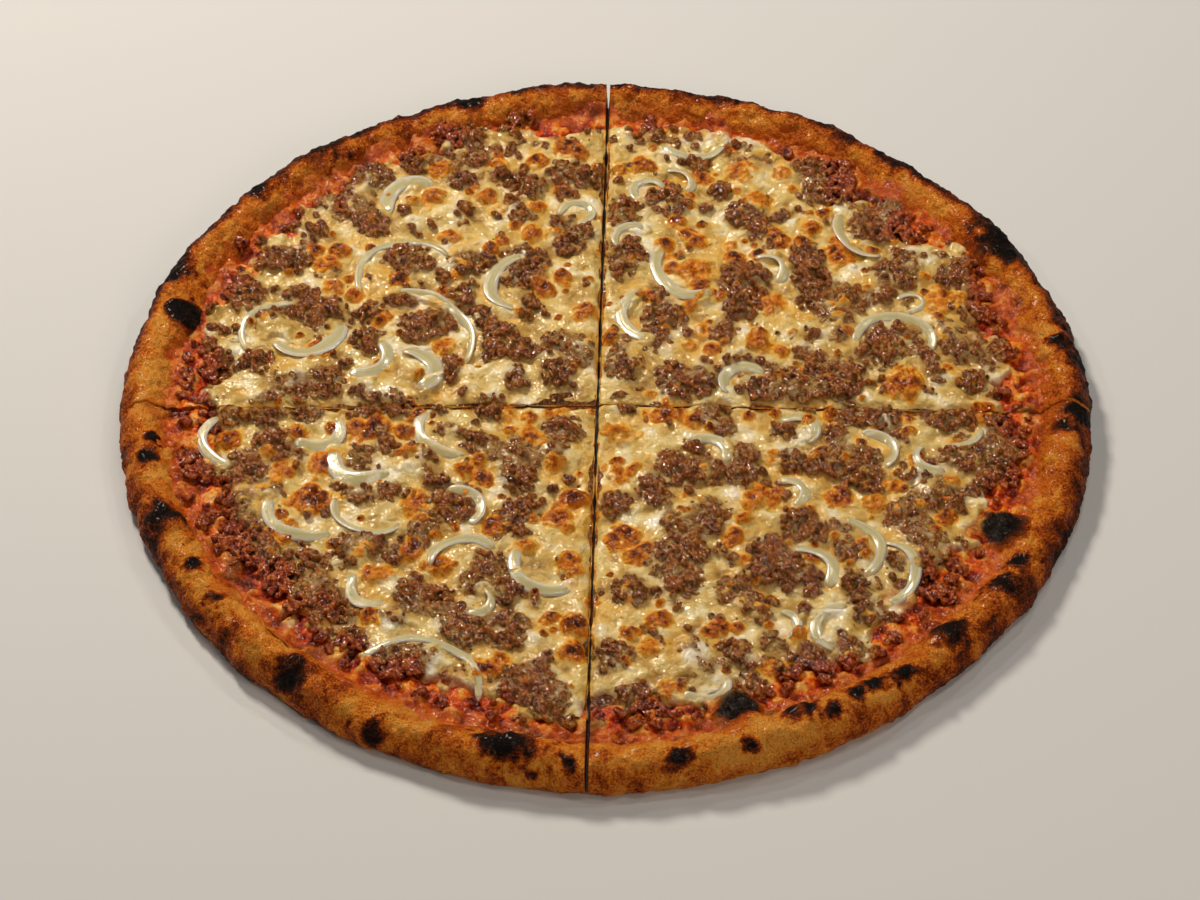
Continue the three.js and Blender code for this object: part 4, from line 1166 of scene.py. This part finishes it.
def cheese_piece(name):
    """The cheese of a quarter: its top, and the two walls at the cuts."""
    first, last = SLICES[name]
    tip = tip_of(first, last)
    along = np.arange(int((PIZZA_RADIUS - TOPPING_INSET + 6) / CHEESE_STEP)) * CHEESE_STEP
    # Rows run from the first side of the quarter, columns from the last; both start at the tip.
    s, t = np.meshgrid(along, along, indexing="ij")
    x, y = (tip[i] + s * direction(first)[i] + t * direction(last)[i] for i in (0, 1))
    roll = sum(np.clip(1 - depth / ROLL_WIDTH, 0, 1) ** 2 for depth in (s, t))
    z = sample(CHEESE_MAP, x, y) - ROLL_DEPTH * roll * sample(ROLL_WANDER, x, y)
    z = np.maximum(z, CHEESE_FLOOR - 1.0)
    kept = sample(from_edge, x, y) > EDGE_REACH
    index = np.full(kept.shape, -1)
    index[kept] = np.arange(kept.sum())
    points = [np.stack((x[kept], y[kept], z[kept]), axis=1)]
    faces = [grid_faces(index)]
    tints = {label: [sample(field, x[kept], y[kept])] for label, field in CHEESE_TINTS.items()}
    rolled = 0.26 * roll[kept] * sample(ROLL_WANDER, x[kept], y[kept])
    tints["toast"][0] = np.maximum(tints["toast"][0], rolled)
    total = int(kept.sum())
    for row, outwards in ((index[:, 0], direction(first - 90)), (index[0, :], direction(last + 90))):
        row = row[row >= 0]
        top = points[0][row]
        numbers = [row]
        for share in (0.35, 0.7, 1.0):
            lower = top.copy()
            lower[:, 2] = top[:, 2] + (CHEESE_FLOOR - 0.4 - top[:, 2]) * share
            swelling = WALL_BULGE * math.sin(math.pi * min(share + 0.15, 1))
            bulge = swelling * sample(WALL_WANDER, top[:, 0], top[:, 1])
            lower[:, :2] += outwards * np.maximum(bulge, 0)[:, None]
            points.append(lower)
            numbers.append(np.arange(total, total + len(row)))
            total += len(row)
            for values in tints.values():
                values.append(values[0][row])
        faces.append(grid_faces(np.array(numbers)))
    tints = {label: np.concatenate(values) for label, values in tints.items()}
    points, faces = np.concatenate(points), np.concatenate(faces)
    return new_piece(f"melted_cheese_{name}", points, faces, CHEESE, f"cheese_{name}", tints)


for name in SLICES:
    piece = cheese_piece(name)
    print(piece.name, len(piece.data.polygons), "faces")

# %% [markdown]
# ## Mince pieces
#
# Under the cheese the mince is a thin closed bed, and the melted heaps stand on it. What the cheese hides of
# the heaps is left out. The tints tell the finish where to paint shade on crumbs that lie low between others,
# where cheese has smeared over a crumb's foot, and where sauce has soaked in towards the rim.

# %% Mince pieces, with the thin bed under the cheese
BED_CORNERS = 40
BARE_ABOVE = 7.2
KEPT_DEPTH = 0.2
MINCE_AROUND = blur(np.maximum(MINCE_MAP, CHEESE_TOP - 1.5), 1.6)


def bed_of(name, start):
    """A closed slab of mince under the cheese of a quarter."""
    first, last = SLICES[name]
    angles = np.radians(np.linspace(first, last, BED_CORNERS))
    distance = edge_distance(angles) - TOPPING_INSET
    turn = from_sides(distance[:, None], KNIFE_GAP)[:, 0]
    outline = [tip_of(first, last), *np.stack(polar(angles + turn, distance), axis=1)]
    count = len(outline)
    points = [(x, y, z) for z in (MINCE_FLOOR, MINCE_BED_TOP) for x, y in outline]
    faces = [[start + i for i in range(count)][::-1], [start + count + i for i in range(count)]]
    for i in range(count):
        after = (i + 1) % count
        faces.append([start + i, start + after, start + count + after, start + count + i])
    return points, faces


for name, (points, faces) in mince_meshes.items():
    cheese_top = sample(CHEESE_MAP, points[:, 0], points[:, 1])
    inside = sample(from_edge, points[:, 0], points[:, 1])
    bare = (inside < 0.5) & (points[:, 2] > BARE_ABOVE)
    shown = (points[:, 2] > cheese_top - KEPT_DEPTH) | bare
    used, faces = compacted(faces[shown[faces].any(axis=1)])
    points, inside = points[used], inside[used]
    above = points[:, 2] - cheese_top[used]
    sunk = points[:, 2] - sample(MINCE_AROUND, points[:, 0], points[:, 1])
    bed_points, bed_faces = bed_of(name, len(points))
    tints = {
        # Painted shade: crumbs that lie below the mince around them are darkened.
        "painted_crevice_shade": smoothstep(0.6, -1.2, sunk),
        "smear": smoothstep(1.2, -0.1, above) * (inside > -1),
        "sauced": 0.9 * smoothstep(3.0, -1.0, inside),
    }
    tints = {label: np.concatenate((values, np.zeros(len(bed_points)))) for label, values in tints.items()}
    points, faces = np.concatenate((points, bed_points)), faces.tolist() + bed_faces
    piece = new_piece(f"browned_mince_{name}", points, faces, MINCE, f"mince_{name}", tints)
    print(piece.name, len(piece.data.polygons), "faces")

# %% [markdown]
# ## Sauce
#
# Under the toppings the sauce is a thin layer. Between them and the rim it lies as a wet, pulpy ring that
# laps a little way up the rim. It is laid out in rays and rings about the crossing of the cuts, wide apart
# under the toppings, where nothing shows, and close together in the ring.

# %% Sauce pieces
SAUCE_RAYS = 430
HIDDEN_RINGS, SHOWN_RINGS, RING_STEP = 6, 57, 0.45


def sauce_piece(name):
    """The sauce of a quarter: its top, and the two walls at the cuts."""
    middle = np.radians(np.linspace(*SLICES[name], SAUCE_RAYS))[:, None]
    start = edge_distance(middle) - TOPPING_INSET - 9
    hidden = np.linspace(0.02, 1, HIDDEN_RINGS)[None, :] * start
    shown = start + np.arange(1, SHOWN_RINGS + 1)[None, :] * RING_STEP
    distance = np.concatenate((hidden, shown), axis=1)
    x, y = polar(middle + from_sides(distance, KNIFE_GAP), distance)
    index = np.arange(x.size).reshape(x.shape)
    points = [np.stack((x, y, sample(SAUCE_MAP, x, y)), axis=-1).reshape(-1, 3)]
    faces = [grid_faces(index)[:, ::-1]]
    total = x.size
    for row in (index[0], index[-1]):
        lower = points[0][row].copy()
        lower[:, 2] = SAUCE_FLOOR
        points.append(lower)
        faces.append(grid_faces(np.array((row, np.arange(total, total + len(row))))))
        total += len(row)
    points, faces = np.concatenate(points), np.concatenate(faces)
    fields = {"bake": SAUCE_BAKE, "dry": SAUCE_DRY, "relief": SAUCE_RELIEF}
    tints = {label: sample(field, points[:, 0], points[:, 1]) for label, field in fields.items()}
    return new_piece(f"tomato_sauce_{name}", points, faces, SAUCE, f"sauce_{name}", tints)


for name in SLICES:
    piece = sauce_piece(name)
    print(piece.name, len(piece.data.polygons), "faces")

# %% [markdown]
# ## Dough
#
# The rim's section runs from its inner foot over the crest, down the side and round the heel. It could be
# lathed once and sculpted, but a lathe stretches any pattern down the sides. So the section is laid out
# flat, and grain of one size covers all of it: that grain lifts it along its own normal.

# %% Section of the rim, evenly spaced
CRUST_RAYS, SECTION_POINTS = 470, 82
TOP_SAMPLES, HEEL_SAMPLES = 70, 12


def rim_section(angle):
    """Inset and height of evenly spaced points over the rim and round its heel, and the run to each."""
    rays = np.zeros((len(angle), 1))
    top_inset = np.append(RIM_WIDTH * (1 - np.linspace(0, 1, TOP_SAMPLES) ** 0.8), 0.0)
    heel = np.linspace(0.1, 1, HEEL_SAMPLES) * math.pi / 2
    insets = np.concatenate((rays + top_inset, rays + HEEL_WIDTH * (1 - np.cos(heel))), axis=1)
    top = rim_top(angle[:, None], top_inset[None, :])
    heights = np.concatenate((top, rays + BASE_THICKNESS * (1 - np.sin(heel))), axis=1)
    steps = np.hypot(np.diff(insets, axis=1), np.diff(heights, axis=1))
    run = np.concatenate((rays, np.cumsum(steps, axis=1)), axis=1)
    even = np.linspace(0, 1, SECTION_POINTS)
    inset = np.stack([np.interp(even * along[-1], along, values) for along, values in zip(run, insets)])
    height = np.stack([np.interp(even * along[-1], along, values) for along, values in zip(run, heights)])
    return inset, height, even * run[:, -1:]


# %% [markdown]
# Bread swells in bubbles of several sizes. The blisters read off the photograph are domes on top of that.

# %% Lift the rim along its normal
BREAD = 0.3 * grain(4.5, 61) + 0.26 * grain(1.9, 62) + 0.16 * grain(0.85, 63) + 0.12 * grain(0.45, 64)


def lifted_rim(lift, share, plan_x, plan_y, inset, height):
    """Inset and height of the rim's points after the bread's swells and blisters have lifted them."""
    for x, y, length, width, rise, turn in RIM_BLISTERS:
        along = direction(turn)
        dx, dy = plan_x - x, plan_y - y
        far = ((dx * along[0] + dy * along[1]) / length) ** 2 + ((dy * along[0] - dx * along[1]) / width) ** 2
        dome = np.clip(1 - 4 * far * (1 + 0.5 * lift), 0, 1) ** 0.7 * (share < 0.7)
        lift = lift + rise * dome
    lift = lift * smoothstep(0, 0.1, share) * smoothstep(1.0, 0.88, share)
    lift = lift + sample(BLISTER_RISE, plan_x, plan_y) * (share < 0.6)
    run_out, run_up = -np.gradient(inset, axis=1), np.gradient(height, axis=1)
    length = np.maximum(np.hypot(run_out, run_up), 1e-6)
    return inset + lift * run_up / length, np.maximum(height + lift * run_out / length, 0.0)


# %% [markdown]
# The bake rises from the sauced foot over the crest and is strongest low on the outer side, which is browning
# and partly painted shade. The back's outer side is made darker still and the front's paler, painted shade
# and painted light against the key from behind, and the left crest is made paler and the right outer side
# darker for the same light. Char is left to single spots: the photograph's, each with a ragged edge, and the
# burnt blisters.

# %% How baked and how charred the rim is
SECTION_SHARES = (0, 0.1, 0.28, 0.45, 0.58, 0.75, 0.9, 1)
SECTION_BAKE = (0.36, 0.26, 0.2, 0.3, 0.46, 0.64, 0.68, 0.66)
MOST_BAKED, CHARCOAL = 0.76, 1.02
BROWNING = 0.6 * grain(7.0, 65) + 0.5 * grain(2.4, 66)
CHAR_WANDER = 0.14 * grain(1.6, 69) + 0.14 * grain(0.6, 70)


def rim_bake_with_painted_light_and_shade(middle, share, flat):
    """How baked the rim is at each point before it chars, with painted light and shade by side."""
    facing = np.sin(middle)[:, None] * (share > 0.12)
    outer = smoothstep(0.35, 0.6, share)
    bake = np.interp(share[0], SECTION_SHARES, SECTION_BAKE)[None, :] + 0.17 * sample(BROWNING, *flat)
    # Painted shade and light: the back's outer side darker, the front's paler.
    bake = bake + (0.02 + (0.28 + 0.36 * (facing > 0)) * outer) * facing
    # Painted light and shade: the left crest paler, the right outer side darker.
    bake = bake + (0.16 * outer - 0.17) * smoothstep(0.6, 1.0, -np.cos(middle))[:, None]
    bake = bake + 0.2 * outer * smoothstep(0.6, 0.95, np.cos(middle))[:, None]
    return smooth_cap(bake, MOST_BAKED, 0.12)


def rim_char(surface, share, flat):
    """How charred the rim is at each point."""
    wander = sample(CHAR_WANDER, *flat)
    char = sample(BURNT, surface[..., 0], surface[..., 1]) * (share < 0.6)
    for x, y, radius in CHARRED:
        angle = math.atan2(y - CROSSING[1], x - CROSSING[0])
        in_from_edge = float(edge_distance(angle)) - math.hypot(x - CROSSING[0], y - CROSSING[1])
        spot = np.array((x, y, float(rim_top(angle, max(in_from_edge, 0.6)))))
        away = np.linalg.norm(surface - spot, axis=-1) / (radius * 1.35)
        char = np.maximum(char, smoothstep(1.35, 0.15, away * (1 + wander)))
    return char


# %% [markdown]
# A quarter of dough is a closed body: its flat base under the sauce, the rim, and the underside, spotted
# brown. Its two cut faces show the pale crumb. The cut closes towards the underside, where the knife hardly
# parts the dough.

# %% Crust pieces
NEAR_TIP = 0.86  # the two sides of a quarter meet at this distance from the crossing
BASE_DISTANCES = (NEAR_TIP, 3.0, 20.0, 60.0, 100.0)
UNDER_RINGS = 16
LEAST_GAP = 0.3
BASE_BAKE, CRUMB_BAKE, CRUMB_BAKE_BELOW = 0.2, 0.06, 0.2
SMEARED = 0.8 * grain(3.0, 71) + 0.5 * grain(1.0, 72)
UNDERSIDE = 0.5 + 0.16 * grain(4.0, 67) + 0.1 * grain(1.5, 68)


def crust_piece(name):
    """The dough of a quarter, with its base, rim, underside and cut faces."""
    middle = np.radians(np.linspace(*SLICES[name], CRUST_RAYS))
    edge = edge_distance(middle)[:, None]
    inset, height, run = rim_section(middle)
    share = np.linspace(0, 1, SECTION_POINTS)[None, :]
    # Laid out flat, the section runs on outwards from the rim's inner foot.
    flat = polar(middle[:, None], edge - RIM_WIDTH + run)
    plan_x, plan_y = polar(middle[:, None], edge - inset)
    inset, height = lifted_rim(sample(BREAD, *flat), share, plan_x, plan_y, inset, height)
    char = rim_char(np.stack((plan_x, plan_y, height), axis=-1), share, flat)
    bake = rim_bake_with_painted_light_and_shade(middle, share, flat)
    bake = np.clip(bake + char * (CHARCOAL - bake), 0, 1)
    stain = 0.9 * smoothstep(0.34, 0.05, share + 0.1 * sample(SMEARED, *flat)) * (1 - char)

    base = np.array(BASE_DISTANCES)[None, :] + 0 * edge
    under = np.linspace(1, 0, UNDER_RINGS)[None, :-1] * (edge - HEEL_WIDTH - NEAR_TIP - 4) + NEAR_TIP
    distance = np.concatenate((base, edge - inset, under), axis=1)
    z = np.concatenate((BASE_THICKNESS + 0 * base, height, 0 * under), axis=1)
    gap = LEAST_GAP + (KNIFE_GAP - LEAST_GAP) * smoothstep(0.0, 6.0, z)
    x, y = polar(middle[:, None] + from_sides(distance, gap), distance)
    below = sample(UNDERSIDE, x[:, -under.shape[1] :], y[:, -under.shape[1] :])
    bake = np.concatenate((BASE_BAKE + 0 * base, bake, below), axis=1)
    stain = np.concatenate((1 + 0 * base, stain, 0 * under), axis=1)

    index = np.arange(x.size).reshape(x.shape)
    points = np.stack((x, y, z), axis=-1).reshape(-1, 3)
    walls = np.concatenate((points[index[0]], points[index[-1]]))
    first_wall, last_wall = np.arange(len(points), len(points) + len(walls)).reshape(2, -1).tolist()
    faces = grid_faces(index)[:, ::-1].tolist() + [first_wall[::-1], last_wall]
    tints = {
        "bake": np.concatenate((bake.ravel(), CRUMB_BAKE + CRUMB_BAKE_BELOW * (walls[:, 2] < 0.6))),
        "stain": np.concatenate((stain.ravel(), np.zeros(len(walls)))),
    }
    points = np.concatenate((points, walls))
    return new_piece(f"baked_dough_{name}", points, faces, DOUGH, f"crust_{name}", tints)


for name in SLICES:
    piece = crust_piece(name)
    print(piece.name, len(piece.data.polygons), "faces")

# %% [markdown]
# ## Onion strips
#
# A strip is a piece of one onion layer: curved in plan, arched across, tapered to its ends, and glassy with
# veins along it. It could be a curve with a bevel, but a bevel keeps one section from end to end. Here the
# section is swept point by point, so it thins, tilts and sinks as a limp strip does. It follows its node's
# arc and settles on the cheese.

# %% Sweep a section along each strip's arc
SECTION_CORNERS = 22
STRIP_STEP = 0.7
HALF_THICKNESS = 0.34
SQUARENESS = 0.8
SETTLED = blur(np.maximum(CHEESE_MAP, np.where(MINCE_MAP > 0, MINCE_MAP - 1.2, 0)), 1.8)


def squared(wave):
    """A sine or cosine that gives a section with fuller corners than an ellipse."""
    return np.sign(wave) * np.abs(wave) ** SQUARENESS


def strip_piece(arc, number):
    """One onion strip along its arc, closed at both ends."""
    draw = np.random.default_rng(100 + number)
    sweep = arc["last"] - arc["first"]
    length = arc["radius"] * sweep
    share = np.linspace(0, 1, max(12, int(length / STRIP_STEP)))
    longer = 0.04 * sweep
    angles = arc["first"] - longer + (sweep + 2 * longer) * share
    blunt = np.clip(1 - np.abs(2 * share - 1) ** (length * 0.45), 0.02, 1) ** 0.5
    taper = (blunt * (0.72 + 0.28 * np.sin(math.pi * share)))[:, None]
    wave = 0.35 * np.sin(share * length / 3.1 + draw.uniform(0, 6))
    middle_x = arc["centre"][0] + (arc["radius"] + wave) * np.cos(angles)
    middle_y = arc["centre"][1] + (arc["radius"] + wave) * np.sin(angles)
    # It lies on the cheese but no further from its node than it can sag or be propped up.
    seat = np.clip(sample(SETTLED, middle_x, middle_y) + 0.02, arc["floor"] - 0.8, arc["floor"] + 1.3)
    seat = np.convolve(np.pad(seat, 6, mode="edge"), np.ones(13) / 13, mode="valid") - 1.3 * (1 - blunt)

    corner = np.linspace(0, 2 * math.pi, SECTION_CORNERS, endpoint=False)[None, :]
    half = arc["width"] * 0.5 * taper * (1 + 0.06 * np.sin(share * length / 2.3)[:, None])
    across = half * squared(np.cos(corner))
    edge_share = across / half
    # The strip arches across, and a shallow groove runs along its top.
    groove = 0.12 * np.exp(-(((edge_share - 0.1) / 0.4) ** 2)) * (np.sin(corner) > 0.1)
    up = HALF_THICKNESS * (0.4 + 0.6 * blunt[:, None]) * squared(np.sin(corner))
    up = up + 0.3 * (1 - edge_share**2) - groove
    tilt = math.radians(draw.uniform(-20, 20))
    tilt = tilt + math.radians(14) * np.sin(share * 3 + draw.uniform(0, 6))[:, None]
    side = across * np.cos(tilt) - up * np.sin(tilt)
    x = middle_x[:, None] + side * np.cos(angles)[:, None]
    y = middle_y[:, None] + side * np.sin(angles)[:, None]
    z = seat[:, None] + across * np.sin(tilt) + up * np.cos(tilt)

    index = np.arange(x.size).reshape(x.shape)
    around = np.concatenate((index, index[:, :1]), axis=1)
    faces = grid_faces(around).tolist() + [index[0][::-1].tolist(), index[-1].tolist()]
    vein = (edge_share * 0.5 + 0.5) * 1.6 + number * 3.7 + 0.05 * np.sin(share * 9)[:, None]
    browned_ends = smoothstep(0.12, 0.0, np.minimum(share, 1 - share))[:, None] * draw.uniform(0, 0.8)
    tints = {"vein": vein, "toast": browned_ends + 0 * vein, "side": np.abs(edge_share)}
    tints = {label: values.ravel() for label, values in tints.items()}
    points = np.stack((x, y, z), axis=-1).reshape(-1, 3)
    label = arc["name"].removeprefix("onion_")
    return new_piece(f"onion_strip_{label}", points, faces, ONION, arc["name"], tints)


for number, arc in enumerate(STRIPS):
    strip_piece(arc, number)
print("onion strips made:", len(STRIPS))

# %% Print the two boxes, and finish
visual_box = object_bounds()
boxes = {"cad_box": cad_box, "visual_box": visual_box}
boxes = {label: [list(corner) for corner in box] for label, box in boxes.items()}
print(boxes)
